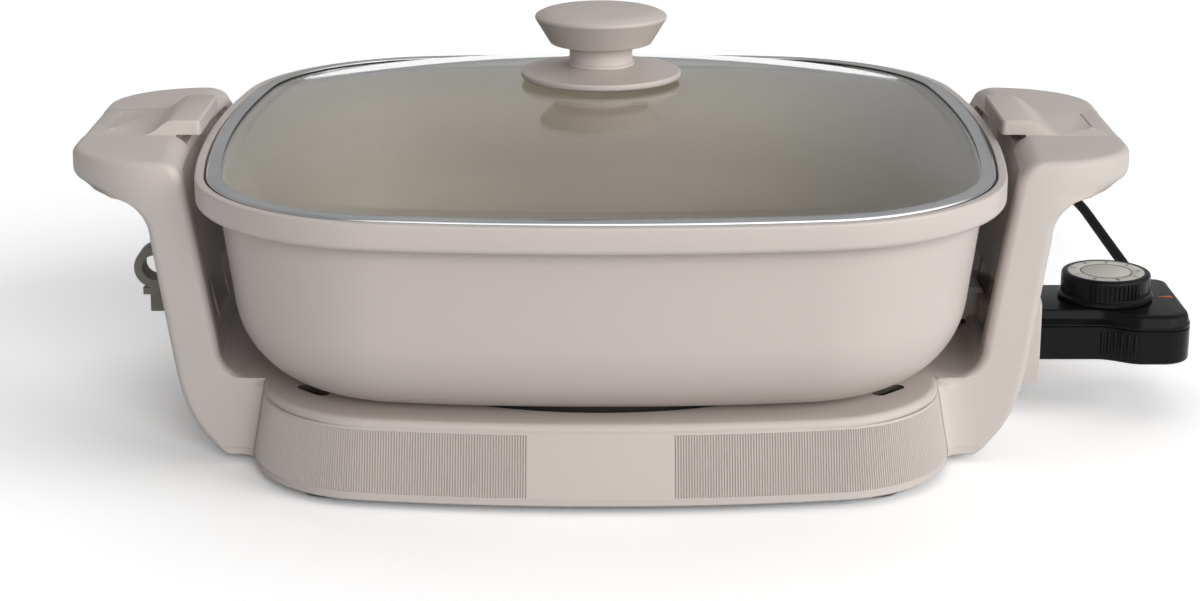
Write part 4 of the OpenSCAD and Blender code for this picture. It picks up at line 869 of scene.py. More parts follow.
@dataclass
class Base:
    """The flared base with its ribbed wall, open deck, heater and feet."""

    outline: BowedSquare = BowedSquare(147.0, 620.0, 56.0, 26, 30)
    top_half: float = 142.0
    clear: float = 3.0
    lip_h: float = 3.0
    deck_z: float = 34.5
    round_r: float = 2.6
    wall: float = 2.4
    hole_r: float = 127.0
    rib_pitch: float = 1.05
    rib_depth: float = 0.5
    rib_back: float = 0.75
    plain_half: float = 28.4
    slot_at: Point2 = (114.5, 99.0)
    slot_w: float = 6.0
    slot_l: float = 17.0
    window: tuple[Point3, Point3] = ((135, -14.7, 19.8), (152, 14.7, 31.9))

    @property
    def band_z(self) -> tuple[float, float]:
        """Lowest and highest height of the ribbed wall."""
        return self.clear + self.lip_h, self.deck_z - self.round_r

    def wall_half(self, z: float) -> float:
        """Half width of the ribbed wall at a height."""
        low, high = self.band_z
        return self.outline.half + (self.top_half - self.outline.half) * (z - low) / (high - low)

    def at(self, half: float, z: float, grow: float = 0.0) -> Ring:
        """Returns the base's outline at a half width."""
        return BowedSquare(half, self.outline.bow_r, self.outline.corner_r, 26, 30).ring(z, grow)

    def hole(self, z: float) -> Ring:
        """Returns the deck opening's ring, point by point beside the outline's."""
        return [(x / math.hypot(x, y) * self.hole_r, y / math.hypot(x, y) * self.hole_r, z)
                for x, y in self.outline.points()]

    def slot_tool(self, sx: int, sy: int) -> Piece:
        """Makes the tool for one oval slot, in the deck's corner on the sides sx and sy."""
        turn = -45 * sx * sy
        middle = (sx * self.slot_at[0], sy * self.slot_at[1])
        ends: list[Point2] = []
        for way in (turn, turn + 180):
            end = arc(middle, (self.slot_l - self.slot_w) / 2, way, way, 1)[0]
            ends += arc(end, self.slot_w / 2, way - 90, way + 90, 12)
        heights = (self.deck_z - self.wall - 1, self.deck_z + 1)
        return skin("slot_tool", [[(x, y, z) for x, y in ends] for z in heights])

    def build_shell(self, dresser: Dresser) -> None:
        """Makes the lip, the wall behind the ribs, the rounded deck edge and the deck."""
        low, high = self.band_z
        half, top, wall, r = self.outline.half, self.top_half, self.wall, self.round_r
        under, back = self.deck_z - wall, self.rib_back
        rings = [self.at(wide, z) for wide, z in (
            (half, self.clear + 0.5), (half, self.clear + 0.9), (half, low - 0.3), (half, low),
            (half - 0.3, low), (half - back, low + 0.05), (self.wall_half(low + 0.6) - back, low + 0.6),
            (self.wall_half(high - 1.0) - back, high - 1.0), (self.wall_half(high - 0.6) - 0.12, high - 0.6))]
        rings += [self.at(top, high + rise, grow) for grow, rise in arc((-r, 0), r, 0, 90, 7)]
        rings += [self.at(top, self.deck_z, -7.0), self.hole(self.deck_z), self.hole(self.deck_z - 0.6),
                  self.hole(under), self.at(top, under, -7.0), self.at(top, under, -wall - 1.0),
                  self.at(half, self.clear, -wall), self.at(half, self.clear, -0.5)]
        piece = skin("base_deck_and_lip", rings, closed=True)
        cut(piece, *(self.slot_tool(sx, sy) for sx in (-1, 1) for sy in (-1, 1)),
            block("socket_tool", *self.window))
        smooth(piece, 30)
        dresser.hang(piece, Finish.SHELL, "base", "greige_shell", "base_shell")

        def in_slot(at: Vector, facing: Vector) -> bool:
            """Tells whether a face is on the wall of a slot, which is painted near-black as painted shade."""
            aside = math.hypot(abs(at.x) - self.slot_at[0], abs(at.y) - self.slot_at[1])
            return aside < self.slot_l / 2 + 0.5 and abs(facing.z) < 0.4 and under - 0.5 < at.z < self.deck_z

        # The slot walls take the near-black cover finish as painted shade.
        dresser.second(piece, Finish.COVER, in_slot)

    def rib_line(self) -> list[tuple[Vector, Vector, float]]:
        """Walks the outline in small even steps.

        Returns:
            For each step the point, the outward direction and the depth of the rib pattern there, 0 to 1.
        """
        fine = BowedSquare(self.outline.half, self.outline.bow_r, self.outline.corner_r, 120, 90).points()
        spots = [Vector(p) for p in fine] + [Vector(fine[0])]
        lengths = [0.0]
        for a, b in zip(spots, spots[1:]):
            lengths.append(lengths[-1] + (b - a).length)
        pitches = round(lengths[-1] / self.rib_pitch)
        pattern = (0.0, 0.0, 0.0, 1.0, 1.0)
        count = pitches * len(pattern)
        step = lengths[-1] / count
        line, seg = [], 0
        for i in range(count):
            s = i * step
            while lengths[seg + 1] < s:
                seg += 1
            t = (s - lengths[seg]) / (lengths[seg + 1] - lengths[seg])
            point = spots[seg].lerp(spots[seg + 1], t)
            along = (spots[seg + 1] - spots[seg]).normalized()
            plain = point.y < 0 and abs(point.x) < self.plain_half
            line.append((point, Vector((along.y, -along.x)), 0.0 if plain else pattern[i % len(pattern)]))
        return line

    def build_ribs(self, dresser: Dresser) -> None:
        """Makes the fine upright ribs round the wall and the plain panel in front, with painted shade on the
        groove bottoms.
        """
        low, high = self.band_z
        line = self.rib_line()
        z0, z1 = low + 0.35, high - 1.5

        def level(z: float, depth: float, sink: float = 0.0) -> Ring:
            """Returns one level of the ribbed skin."""
            shift = self.wall_half(z) - self.outline.half
            ring: Ring = []
            for point, out, share in line:
                spot = point + out * (shift - sink - depth * share)
                ring.append((spot.x, spot.y, z))
            return ring

        deep = self.rib_depth
        rings = [level(*row) for row in (
            (low + 0.02, 0.0, 0.9), (low + 0.02, 0.0), (z0, 0.0), (z0 + 0.02, deep), (z1 - 0.02, deep),
            (z1, 0.0), (high - 0.62, 0.0), (high - 0.6, 0.0, 0.9))]
        piece = skin("base_ribbed_wall", rings, closed=True, degrees=24)
        dresser.hang(piece, Finish.SHELL, "base", "greige_shell")
        spots = KDTree(len(line))
        for i, (point, _, _) in enumerate(line):
            spots.insert((*((point + line[(i + 1) % len(line)][0]) / 2), 0.0), i)
        spots.balance()

        def in_groove(at: Vector, facing: Vector) -> bool:
            """Tells whether a face is on the bottom of a groove, which takes a darker colour as painted
            shade.
            """
            i = spots.find((at.x, at.y, 0.0))[1]
            return z0 < at.z < z1 and line[i][2] > 0 and line[(i + 1) % len(line)][2] > 0

        # The groove bottoms are painted darker, as painted shade in the grooves.
        dresser.second(piece, Finish.GROOVE, in_groove)

    def build(self, dresser: Dresser) -> None:
        """Makes and hangs the base and what it carries."""
        self.build_shell(dresser)
        self.build_ribs(dresser)
        for node, name, finish, slot, *rounds in (
                # The bottom cover is near-black, partly as painted shade seen down the deck's slots.
                ("bottom_cover", "bottom_cover_plate", Finish.COVER, "greige_dark", 0.25),
                ("rubber_feet", "rubber_foot_pads", Finish.RUBBER, "rubber", 0.5, 3),
                ("heater_plate", "heater_plate_casting", Finish.CAST, "heater_cast", 0.3),
                ("heating_element", "heating_element_tube", Finish.ELEMENT, "element"),
                ("probe_guard", "probe_guard_upstand", Finish.GUARD, "guard", 0.5, 3),
                ("probe_socket", "probe_socket_block", Finish.SOCKET, "black_plastic", 0.3)):
            dresser.fit(node, name, finish, "base", slot, *rounds)
        dresser.paint(Finish.DARK_STEEL, "reflector_dish", "plate_bracket")
        dresser.paint(Finish.STEEL, "bracket_screws", "cover_screws", "terminal_pins", "arm_screws")
        dresser.paint(Finish.CERAMIC, "pin_bushings")


# -------------------------------------------------------------------- handles


@dataclass
class Handles:
    """The two tall side handles, their liners, the collar and the storage ring."""

    base: Base
    top_z: float = 121.8
    reach: float = 217.0
    half_l: float = 75.0
    thick: float = 11.5
    post_in: float = 153.3
    post_t: float = 18.4
    rim_half: float = 166.3
    rim_air: float = 4.9
    rim_low_z: float = 108.0
    liner_recess: float = 5.5
    round_in: float = 3.6
    edge_r: float = 2.8
    blend_x: float = 195.0
    top_round: float = 3.0
    foot_spread: float = 0.1
    under_r: float = 16.0
    tip_slope: float = 4.0
    tip_r: float = 3.5
    foot_h: float = 45.0
    foot_in: float = 13.4
    foot_curve: float = 3.6
    shelf_r: float = 12.0
    inner_r: float = 8.0
    corner_x: float = 42.0
    corner_y: float = 36.0
    foot_flare: float = 4.0
    foot_flare_l: float = 14.0
    seam: float = 0.15
    lip: float = 0.5
    pocket_half: float = 64.0
    pocket_d: float = 10.0
    pocket_z: tuple[float, float] = (40.0, 115.5)
    liner_z: float = 63.0
    channel_half: float = 26.3
    channel_z: float = 117.8
    collar_x: tuple[float, float] = (161.3, 187.4)
    collar_half: float = 26.0
    collar_z: tuple[float, float] = (13.0, 50.0)
    collar_r: float = 4.0
    fin_at: tuple[float, ...] = (-48, -16, 16, 48)
    fin_half: float = 0.6
    fin_sunk: float = 0.3
    fin_deep: float = 0.9
    fin_curve: float = 1.8
    lock_rooms: tuple[tuple[Point3, Point3], ...] = (
        ((193.7, -3.3, 100), (206.3, 3.3, 118.8)), ((190, -7, 90), (210, 7, 113)))
    control_rooms: tuple[tuple[Point3, Point3], ...] = (
        ((138, -14.7, 19.8), (150, 14.7, 31.9)), ((148.8, -18.7, 19.8), (181.6, 18.7, 38.2)),
        ((149.3, -14.3, 37), (165.3, 14.3, 51)), ((160, -15.8, 21.8), (189, 15.8, 33.4)))

    @property
    def under_z(self) -> float:
        """Height of the handle's underside at the root of its wing."""
        return self.top_z - self.thick - 4

    @property
    def lean(self) -> float:
        """How far the upright leans out per unit of height, from the deck to the rim."""
        reach = self.rim_half + self.rim_air - self.liner_recess - self.post_in
        return reach / (self.rim_low_z - self.base.deck_z)

    def face_in(self, z: float) -> float:
        """Distance of the upright's inner face line at a height."""
        return self.post_in + (z - self.base.deck_z) * self.lean

    def face_out(self, z: float) -> float:
        """Distance of the upright's outer face, with its curve in towards the foot."""
        drop = max(0.0, self.base.clear + self.foot_h - z) / self.foot_h
        return self.face_in(z) + self.post_t - self.foot_in * drop ** self.foot_curve

    def inner(self, z: float) -> float:
        """Distance of the inner face above the deck, with its round foot and top."""
        foot = self.base.deck_z + self.shelf_r
        low, high = max(0.0, foot - z), max(0.0, z - self.top_z + self.inner_r)
        return (self.face_in(max(z, foot)) - self.shelf_r + math.sqrt(max(0.0, self.shelf_r ** 2 - low ** 2))
                + self.inner_r - math.sqrt(max(0.0, self.inner_r ** 2 - high ** 2)))

    def bulge(self, y: float) -> float:
        """How far the inner face stands back at a depth, so that it follows the pan's side."""
        bow = self.base.outline.bow_r
        return math.sqrt(bow ** 2 - y * y) - math.sqrt(bow ** 2 - self.half_l ** 2)

    def base_side(self, y: float, z: float) -> float:
        """Distance of the base's side at a depth and height."""
        base, (low, high) = self.base, self.base.band_z
        if z > high:
            rise = min(z, base.deck_z) - high
            half = base.top_half - base.round_r + math.sqrt(max(0.0, base.round_r ** 2 - rise ** 2))
        else:
            half = base.wall_half(max(z, low))
        return half - base.outline.bow_r + math.sqrt(base.outline.bow_r ** 2 - y * y)

    def wing_share(self, xo: float) -> float:
        """How much of the wing's own rounding a level has, 0 on the upright and 1 at the wing's tip."""
        return ease((xo - self.blend_x) / (self.reach - self.tip_r - self.blend_x))

    def outer_corner(self, start: float, xo: float, yf: float, o: float, edge: float) -> list[Point2]:
        """Draws the front of a level, round the wing's corner curve and onto its outer face.

        Args:
            start: Where the front begins, after the inner round.
            xo: Distance of the outer face.
            yf: Depth of the front face.
            o: How far every edge is drawn in.
            edge: Radius of the edge between the front and the outer face.

        Returns:
            The points of that stretch.
        """
        middle = self.reach - self.corner_x
        whole = self.corner_x - o
        rx = whole + (xo - middle - whole) * self.wing_share(xo)
        ry = self.corner_y * rx / self.corner_x

        def front(x: float) -> float:
            """Returns the depth of the front curve at a distance."""
            lean = min(1.0, max(0.0, (x - middle) / rx))
            return yf - ry * (1 - math.sqrt(1 - lean * lean))

        last = xo - edge * 1.1
        first = min(max(start + 0.2, min(middle, last - 6.0)), last - 0.3)
        stretch = [first + (last - first) * math.sin(math.pi / 2 * i / 16) for i in range(17)]
        corner = [(x, -front(x)) for x in stretch] + [(xo, -front(xo)), (xo, 0.0)]
        return filleted(corner, [0.0] * 17 + [edge, 0.0], 6)[:-1]

    def level(self, z: float, xo: float, o: float = 0.0) -> Ring:
        """Returns one level of a handle.

        Args:
            z: The height.
            xo: Distance of the outer face.
            o: How far every edge is drawn in.

        Returns:
            The level's ring.
        """
        base = self.base
        below = z <= base.deck_z
        yf = self.half_l + (self.top_z - z) * self.foot_spread - o
        mix = min(1.0, max(0.0, (base.deck_z - z) / base.round_r))
        flare = mix * self.foot_flare - (1 - mix) * self.round_in
        y0 = yf + flare
        xi = self.base_side(y0, z) + self.seam if below else self.inner(z)
        xe = xi if below else xi + self.bulge(y0)
        run = mix * self.foot_flare_l + (1 - mix) * self.round_in
        edge = self.edge_r * (1 - self.wing_share(xo)) + 0.3
        squeeze = min(1.0, (xo - xe - 0.5) / (run + edge + 1.2))
        run, edge = run * squeeze, edge * squeeze
        half = [(self.base_side(y, z) + self.seam if below else xi + self.bulge(y), -y)
                for y in (y0 * i / 12 for i in range(12))]
        half += [(xe + run * (1 - c), -(yf + flare * (1 - s))) for c, s in arc((0, 0), 1.0, 0, 90, 12)]
        half += self.outer_corner(xe + run, xo, yf, o, edge)
        side = half[-1][1]
        half += [(xo, side * (1 - i / 8)) for i in range(1, 9)]
        return [(x, y, z) for x, y in half] + [(x, -y, z) for x, y in reversed(half[1:-1])]

    def levels(self) -> list[tuple[float, float, float]]:
        """Returns the height, outer face and draw-in of each level, from the foot up."""
        foot, lip, deck = self.base.clear, self.base.clear + self.base.lip_h, self.base.deck_z
        bend = self.under_z - self.under_r
        root, tip = self.face_in(bend) + self.post_t + self.under_r, self.reach - self.tip_r
        rows = [(foot, self.face_out(foot) - 0.4, 0.4 - self.lip),
                (foot + 0.4, self.face_out(foot), -self.lip),
                (lip, self.face_out(lip), -self.lip), (lip + 0.15, self.face_out(lip), 0.0)]
        heights = [*range(7, 31, 2), self.base.band_z[1]]
        heights += [deck + rise for rise in (
            -2.0, -1.3, -0.7, -0.2, 0.0, 0.05, 0.3, 0.7, 1.3, 2.2, 3.5, 5.0, 7.0, 9.5, self.shelf_r)]
        rows += [(z, self.face_out(z), 0.0) for z in (*heights, 52.0, 60.0, 70.0, 80.0, bend)]
        wing = arc((root, bend), self.under_r, 180, 90, 12)[1:]
        wing.append(((root + tip) / 2, self.under_z + self.tip_slope * 0.35))
        wing += arc((tip, self.under_z + self.tip_slope + self.tip_r), self.tip_r, -60, 0, 6)
        rows += [(z, x, 0.0) for x, z in wing]
        r = self.top_round
        edge = arc((self.reach - r, self.top_z - r), r, 0, 90, 7)
        return rows + [(z, x, self.reach - x) for x, z in edge]

    def fins(self) -> list[Piece]:
        """Makes the curved stiffening fins low in the pocket, which stand out more towards the bottom."""
        z0, z1 = self.pocket_z[0] + 0.05, self.liner_z - 0.2
        sunk = self.fin_sunk
        line = [(self.face_in(z) + self.pocket_d + sunk, z) for z in (z0, z1)]
        for t in (k / 9 for k in range(10)):
            z = z1 + (z0 - z1) * t
            line.append((self.face_in(z) + self.pocket_d - sunk - self.fin_deep * t ** self.fin_curve, z))
        return [wedge("pocket_fin", line, self.fin_half, y) for y in self.fin_at]

    def build_arm(self) -> Piece:
        """Makes one handle on the right-hand side."""
        piece = skin("arm", [self.level(*row) for row in self.levels()], degrees=40)
        (z0, z1), deep = self.pocket_z, self.pocket_d
        pocket = wedge("pocket_tool", [(self.face_in(z) + d, z) for z, d in (
            (z0, -8), (z0, deep), (z1, deep), (z1, -8))], self.pocket_half)
        soften(pocket, 3.0, 4)
        cut(piece, pocket, block("channel_tool", (self.post_in, -self.channel_half, self.channel_z),
                                 (self.reach + 10, self.channel_half, self.top_z + 10)),
            *(block("lock_tool", *corners) for corners in self.lock_rooms))
        return piece

    def build_collar(self) -> Piece:
        """Makes the collar that the heat control plugs into."""
        (x0, x1), (z0, z1) = self.collar_x, self.collar_z
        half, r = self.collar_half, self.collar_r
        line = [(-half, z0), (half, z0), *arc((half - r, z1 - r), r, 0, 90, 8),
                *arc((r - half, z1 - r), r, 90, 180, 8)]
        rings = [[(x, y, z) for y, z in line] for x in (x0, x1 - 0.5)]
        rings.append([(x1, y * 0.985, z + (0.4 if z < 20 else -0.4)) for y, z in line])
        return skin("collar", rings, degrees=30)

    def build(self, dresser: Dresser) -> None:
        """Makes and hangs both handles and their fittings."""
        left = self.build_arm()
        right = placed("arm_right_body", left.data.copy())
        mirror(left)
        cut(right, self.build_collar(), how="UNION")
        cut(right, *(block("control_tool", *corners) for corners in self.control_rooms))
        for side, arm in (("left", left), ("right", right)):
            fins = self.fins()
            if side == "left":
                for fin in fins:
                    mirror(fin)
            arm = smooth(joined([arm, *fins], f"arm_{side}_body"), 36)
            dresser.hang(arm, Finish.SHELL, "base", "greige_shell", f"arm_{side}")
            # The liner takes a lighter copy of the shell plastic as painted light in its recess.
            dresser.fit(f"liner_{side}", f"liner_{side}_panel", Finish.SHADE, "base", "greige_dark", 0.8, 3)
        dresser.fit("storage_clip", "storage_ring_clip", Finish.CLIP, "base", "greige_dark", 0.5, 3)
        for side in ("left", "right"):
            dresser.fit(f"lock_{side}", f"lock_{side}_slider", Finish.SHELL, f"lock_{side}", "greige_shell",
                        0.7, 3, 25)
        dresser.paint(Finish.STEEL, "clip_screws", "lock_keeper_left", "lock_keeper_right")


# --------------------------------------------------------------- heat control


@dataclass
class HeatControl:
    """The plug-in heat control with its dial."""

    x0: float = 187.7
    x1: float = 251.8
    neck: float = 23.6
    end: float = 31.0
    z0: float = 22.6
    seam_z: float = 37.6
    shoulder_z: float = 41.6
    pad_z: float = 44.2
    flare: tuple[float, float] = (212.7, 230.7)
    dial_x: float = 218.9
    dial_r: float = 19.2
    foot_r: float = 20.3
    plate_r: float = 16.4
    dial_z: float = 44.5
    dial_top: float = 55.9
    rib_count: int = 60
    rod_z: float = 27.6
    nose: tuple[Point3, Point3] = ((162, -15.3, 22.3), (188.2, 15.3, 32.9))
    bore_x: float = 161.0
    bores: tuple[Point3, ...] = ((3.6, -8.0, 185.5), (3.6, 8.0, 185.5), (3.3, 0.0, 187.5))
    first_number: float = 200.0
    number_step: float = 40.0
    number_size: float = 3.4
    number_r: float = 14.1
    mark_r: tuple[float, float] = (11.9, 12.3)
    line_r: tuple[float, float] = (10.9, 16.6)
    line_half: float = 0.16
    print_t: float = 0.03
    grip_ring: tuple[int, float] = (8, 0.6)
    dot_at: float = -2.2
    dot_half: float = 0.4

    def swell(self, t: float, neck: float, end: float) -> Point2:
        """Returns the place along X and half width at the fraction t of the way from neck to broad end."""
        return self.flare[0] + (self.flare[1] - self.flare[0]) * t, neck + (end - neck) * ease(t)

    def outline(self, neck: float, end: float, x1: float) -> list[Point2]:
        """Returns the control's outline: a neck that swells into a broad outer end."""
        front, rear = 11.0, 5.0
        side = [(self.x0 + (self.flare[0] - self.x0) * i / 4, neck) for i in range(4)]
        side += [self.swell(i / 20, neck, end) for i in range(21)]
        return [*((x, -y) for x, y in side), *arc((x1 - front, front - end), front, -90, 0, 14),
                *arc((x1 - rear, end - rear), rear, 0, 90, 10), *side[::-1]]

    def at(self, z: float, neck_in: float = 0.0, end_in: float = 0.0, x_in: float = 0.0) -> Ring:
        """Returns the outline at a height, drawn in at the neck, the end and the outer face."""
        return [(x, y, z) for x, y in self.outline(self.neck - neck_in, self.end - end_in, self.x1 - x_in)]

    def build_shells(self, dresser: Dresser) -> None:
        """Makes the two moulded shells of the control."""
        z0, seam, shoulder, pad = self.z0, self.seam_z, self.shoulder_z, self.pad_z
        rings = [self.at(z0 + rise, *[inset] * 3) for inset, rise in arc((2.0, 2.0), 2.0, -90, -180, 6)]
        rings += [self.at(seam - 0.35), self.at(seam, 0.3, 0.3, 0.3)]
        lower = skin("control_lower_shell", rings, degrees=35)
        nose = block("nose", *self.nose)
        soften(nose, 0.8, 3)
        cut(lower, nose, how="UNION")
        cut(lower, *(turned("bore_tool", [(r, self.bore_x), (r, end)], (y, self.rod_z), 40, axis="X")
                     for r, y, end in self.bores))
        smooth(lower, 35)
        rib = [(0.1, z0 + 2.6), (0.6, z0 + 2.7), (0.9, z0 + 3.2), (0.9, seam - 2.4), (0.6, seam - 1.9),
               (0.1, seam - 1.8)]
        feet = [self.swell((i + 0.6) / 7, self.neck, self.end) for i in range(6)]
        ribs = [turned("finger_rib", rib, (x, side * (y - 0.2)), 20) for side in (-1, 1) for x, y in feet]
        lower = joined([lower, *ribs], "control_lower_shell")
        dresser.hang(lower, Finish.BLACK, "control", "black_plastic", "control_lower")
        upper = skin("control_upper_shell", [self.at(*row) for row in (
            (seam + 0.15, 0.3, 0.3, 0.3), (seam + 0.45,), (seam + 1.05,), (shoulder - 1.8, 2.6, 0.1, 0.1),
            (shoulder - 1.3, 3.3, 0.4, 0.4), (shoulder - 0.9, 3.5, 0.5, 0.5), (pad - 1.6, 3.55, 0.9, 0.8),
            (pad - 0.7, 3.9, 1.5, 1.3), (pad - 0.2, 4.4, 2.4, 2.1), (pad, 5.2, 3.6, 3.2))], degrees=28)
        cut(upper, turned("shaft_tool", [(3.2, 30), (3.2, 60)], (self.dial_x, 0.0), 48),
            swollen_copy("pointer_inlay", 0.12))
        smooth(upper, 28)
        dresser.hang(upper, Finish.BLACK, "control", "black_plastic", "control_upper")

    def build_dial(self, dresser: Dresser) -> None:
        """Makes the dial's grip with its fine upright ribs, its face and its numbers."""
        per, deep = self.grip_ring
        centre = (self.dial_x, 0.0)

        def ribbed(radius: float, z: float, depth: float) -> Ring:
            """Returns a ring with the grip's ribs, plain at four thumb places."""
            ring: Ring = []
            for i in range(self.rib_count * per):
                turn = 360 * i / (self.rib_count * per)
                plain = abs((turn + 42.5) % 90 - 45) > 34
                reach = radius - (depth if i % per < 3 and not plain else 0.0)
                a = math.radians(turn)
                ring.append((centre[0] + reach * math.cos(a), reach * math.sin(a), z))
            return ring

        z0, z1, r, foot = self.dial_z, self.dial_top, self.dial_r, self.foot_r
        face, floor = self.plate_r + 0.15, z1 - 0.8
        rows = [(2.0, z0), (foot - 0.4, z0), (foot, z0 + 0.4), (foot, z0 + 1.7), (foot - 0.4, z0 + 2.2),
                (r + 0.1, z0 + 2.4), (r, z0 + 2.7), (r, z0 + 3.0, deep), (r, z1 - 1.9, deep), (r, z1 - 1.6),
                (r - 0.1, z1 - 0.9), (r - 0.45, z1 - 0.3), (r - 1.0, z1), (face + 0.1, z1),
                (face, z1 - 0.1), (face, floor), (2.0, floor)]
        grip = skin("dial_grip", [ribbed(*row[:2], sum(row[2:])) for row in rows], closed=True, degrees=34)
        x, half = self.dial_x + self.dot_at, self.dot_half
        dot = block("dial_dot", (x - half, -r - 0.15, z1 - 3.1), (x + half, 0.5 - r, z1 - 2.3))
        soften(dot, 0.2, 2)
        grip = joined([grip, dot], "dial_grip")
        dresser.hang(grip, Finish.BLACK, "dial", "black_plastic", "dial_knob")
        top = z1 - 0.05
        disc = filleted([(0.0, floor), (self.plate_r, floor), (self.plate_r, top), (11.3, top),
                         (11.1, top - 0.12), (10.7, top - 0.12), (10.5, top), (0.0, top)],
                        [0, 0.1, 0.15, 0, 0, 0, 0, 0], 3)
        plate = turned("dial_face_plate", disc, centre, 128)
        dresser.hang(plate, Finish.DIAL, "dial", "dial_face", "dial_plate")
        dresser.hang(self.build_numbers(top), Finish.PRINT, "dial", "black_plastic")
        dresser.paint(Finish.STEEL, "dial_shaft")

    def build_numbers(self, top: float) -> Piece:
        """Prints plain heat numbers, their marks and two rings on the dial's face."""
        made = []
        axis = Matrix.Translation((self.dial_x * MM, 0, 0))
        for i in range(9):
            angle = math.radians(self.first_number - i * self.number_step)
            deselect()
            bpy.ops.object.text_add(location=(0, 0, 0))
            text = bpy.context.object.data
            text.body = str(i + 1)
            text.size, text.extrude = self.number_size * MM, self.print_t * MM
            text.align_x = text.align_y = "CENTER"
            bpy.ops.object.convert(target="MESH")
            number = bpy.context.object
            number.data.transform(axis @ Matrix.Translation((0, 0, (top + 0.04) * MM))
                                  @ Matrix.Rotation(angle - math.pi / 2, 4, "Z")
                                  @ Matrix.Translation((0, self.number_r * MM, 0)))
            tick = block("heat_mark", (self.mark_r[0], -0.15, top - 0.02), (self.mark_r[1], 0.15, top + 0.07))
            tick.data.transform(axis @ Matrix.Rotation(angle, 4, "Z"))
            made += [number, tick]
        for r in self.line_r:
            r0, r1, low, high = r - self.line_half, r + self.line_half, top - 0.1, top + 0.04
            made.append(turned("dial_ring_line", [(r0, low), (r1, low), (r1, high), (r0, high)],
                               (self.dial_x, 0.0), closed=True))
        return joined(made, "dial_numbers")

    def build_fittings(self, dresser: Dresser) -> None:
        """Finishes the rod, contacts, switch, screws and pointer."""
        profile = [(0.3, 103.5), (1.6, 103.9), (2.6, 104.8), (3.2, 106.7), (3.2, 186.8), (3.0, 187.0)]
        rod = turned("sensor_probe_rod", profile, (0.0, self.rod_z), 48, axis="X")
        dresser.hang(rod, Finish.STEEL, "control", "hardware", "sensor_rod")
        dresser.fit("contact_tubes", "contact_spring_tubes", Finish.BRASS, "control", "contact")
        dresser.paint(Finish.SWITCH, "thermostat")
        dresser.paint(Finish.STEEL, "control_screws")
        dresser.paint(Finish.INLAY, "pointer_inlay")

    def build(self, dresser: Dresser) -> None:
        """Makes and hangs the heat control."""
        self.build_shells(dresser)
        self.build_dial(dresser)
        self.build_fittings(dresser)


# ----------------------------------------------------------------------- cord


@dataclass
class Cord:
    """The cord behind the heat control, its coil and its plug."""

    radius: float = 2.5
    start: Point3 = (245, 70, 34)
    straight: float = 120.0
    coil_centre: Point2 = (207.0, 352.0)
    coil_r: float = 27.5
    turns: float = 2.5
    down: tuple[Point3, ...] = (
        (244.5, 205, 33.8), (244, 220, 33.2), (243.5, 234, 32), (243, 248, 30), (242.4, 261, 26.5),
        (241.8, 273, 22), (241.2, 285, 17), (240.5, 297, 12), (239.5, 309, 7.8), (238, 323, 4.6),
        (235.9, 337, 2.8))
    back: tuple[Point3, ...] = (
        (177.2, 338, 14.6), (178.4, 330, 13.4), (179.2, 320, 11.2), (179.5, 308, 9.2), (179.5, 296.1, 9))

    def route(self) -> list[Vector]:
        """Returns the whole cord's points in millimetres, coil and all."""
        out = [(self.start[0], self.start[1] + self.straight * i / 8, self.start[2]) for i in range(9)]
        steps = int(self.turns * 20)
        spots = arc(self.coil_centre, self.coil_r, 0, 360 * self.turns, steps)
        coil = [(x, y, self.radius * (1 + 2 * self.turns * i / steps)) for i, (x, y) in enumerate(spots)]
        return [Vector(p) for p in (*out, *self.down, *coil, *self.back)]

    def build_flex(self, dresser: Dresser) -> None:
        points = self.route()
        data = bpy.data.curves.new("cord_flex", "CURVE")
        data.dimensions = "3D"
        data.bevel_depth = self.radius * MM
        data.bevel_resolution = 5
        data.use_fill_caps = True
        spline = data.splines.new("POLY")
        spline.points.add(len(points) - 1)
        for target, point in zip(spline.points, points):
            target.co = (*(point * MM), 1.0)
        piece = placed("cord_flex", data)
        plug = dresser.fit("plug_body", "plug_moulding", Finish.CORD, "control", "black_plastic", 1.0, 3)
        blades = dresser.fit("plug_blades", "plug_flat_blades", Finish.STEEL, "control", "hardware", 0.15)
        dresser.hang(piece, Finish.CORD, "control", "cord_jacket", "cord", "cord_coil")

    def build_relief(self, dresser: Dresser) -> None:
        """Makes the tapered strain relief with its flexing grooves."""
        x, y1, z = self.start
        rows: list[Point2] = [(0.5, 27.0), (4.5, 27.1), (4.5, 32.0)]
        for k in range(7):
            y = 34.0 + k * 4.6
            wide = 4.1 - (y - 34.0) / 36.0
            rows += [(wide, y), (wide, y + 2.6), (wide - 0.55, y + 3.0), (wide - 0.55, y + 4.2)]
        rows += [(3.1, 66.6), (3.1, y1 - 0.3), (2.8, y1), (2.4, y1)]
        relief = turned("cord_strain_relief", rows, (z, x), 40, axis="Y")
        dresser.hang(relief, Finish.CORD, "control", "black_plastic", "strain_relief")

    def build(self, dresser: Dresser) -> None:
        """Makes and hangs the cord."""
        self.build_relief(dresser)
        self.build_flex(dresser)


# ---------------------------------------------------------------------- studio


@dataclass(frozen=True)
class Lamp:
    """A far soft lamp, placed in degrees to the right of the camera's side and above the floor."""

    name: str
    azimuth: float
    height: float
    spread: float
    strength: float
    shine: float
    distance: float = 3.0

    @property
    def toward(self) -> Vector:
        """Direction from the skillet to the lamp."""
        turn, up = math.radians(self.azimuth), math.radians(self.height)
        return Vector((math.sin(turn) * math.cos(up), -math.cos(turn) * math.cos(up), math.sin(up)))

    def hang(self) -> None:
        """Hangs the lamp, whose mirror image is the surround's soft glow."""
        data = bpy.data.lights.new(self.name, "SUN")
        data.energy = self.strength
        data.angle = math.radians(self.spread)
        lamp = placed(self.name, data)
        lamp.location = self.toward * self.distance
        lamp.rotation_euler = (-self.toward).to_track_quat("-Z", "Y").to_euler()
        lamp.visible_glossy = False
        lamp.visible_transmission = False


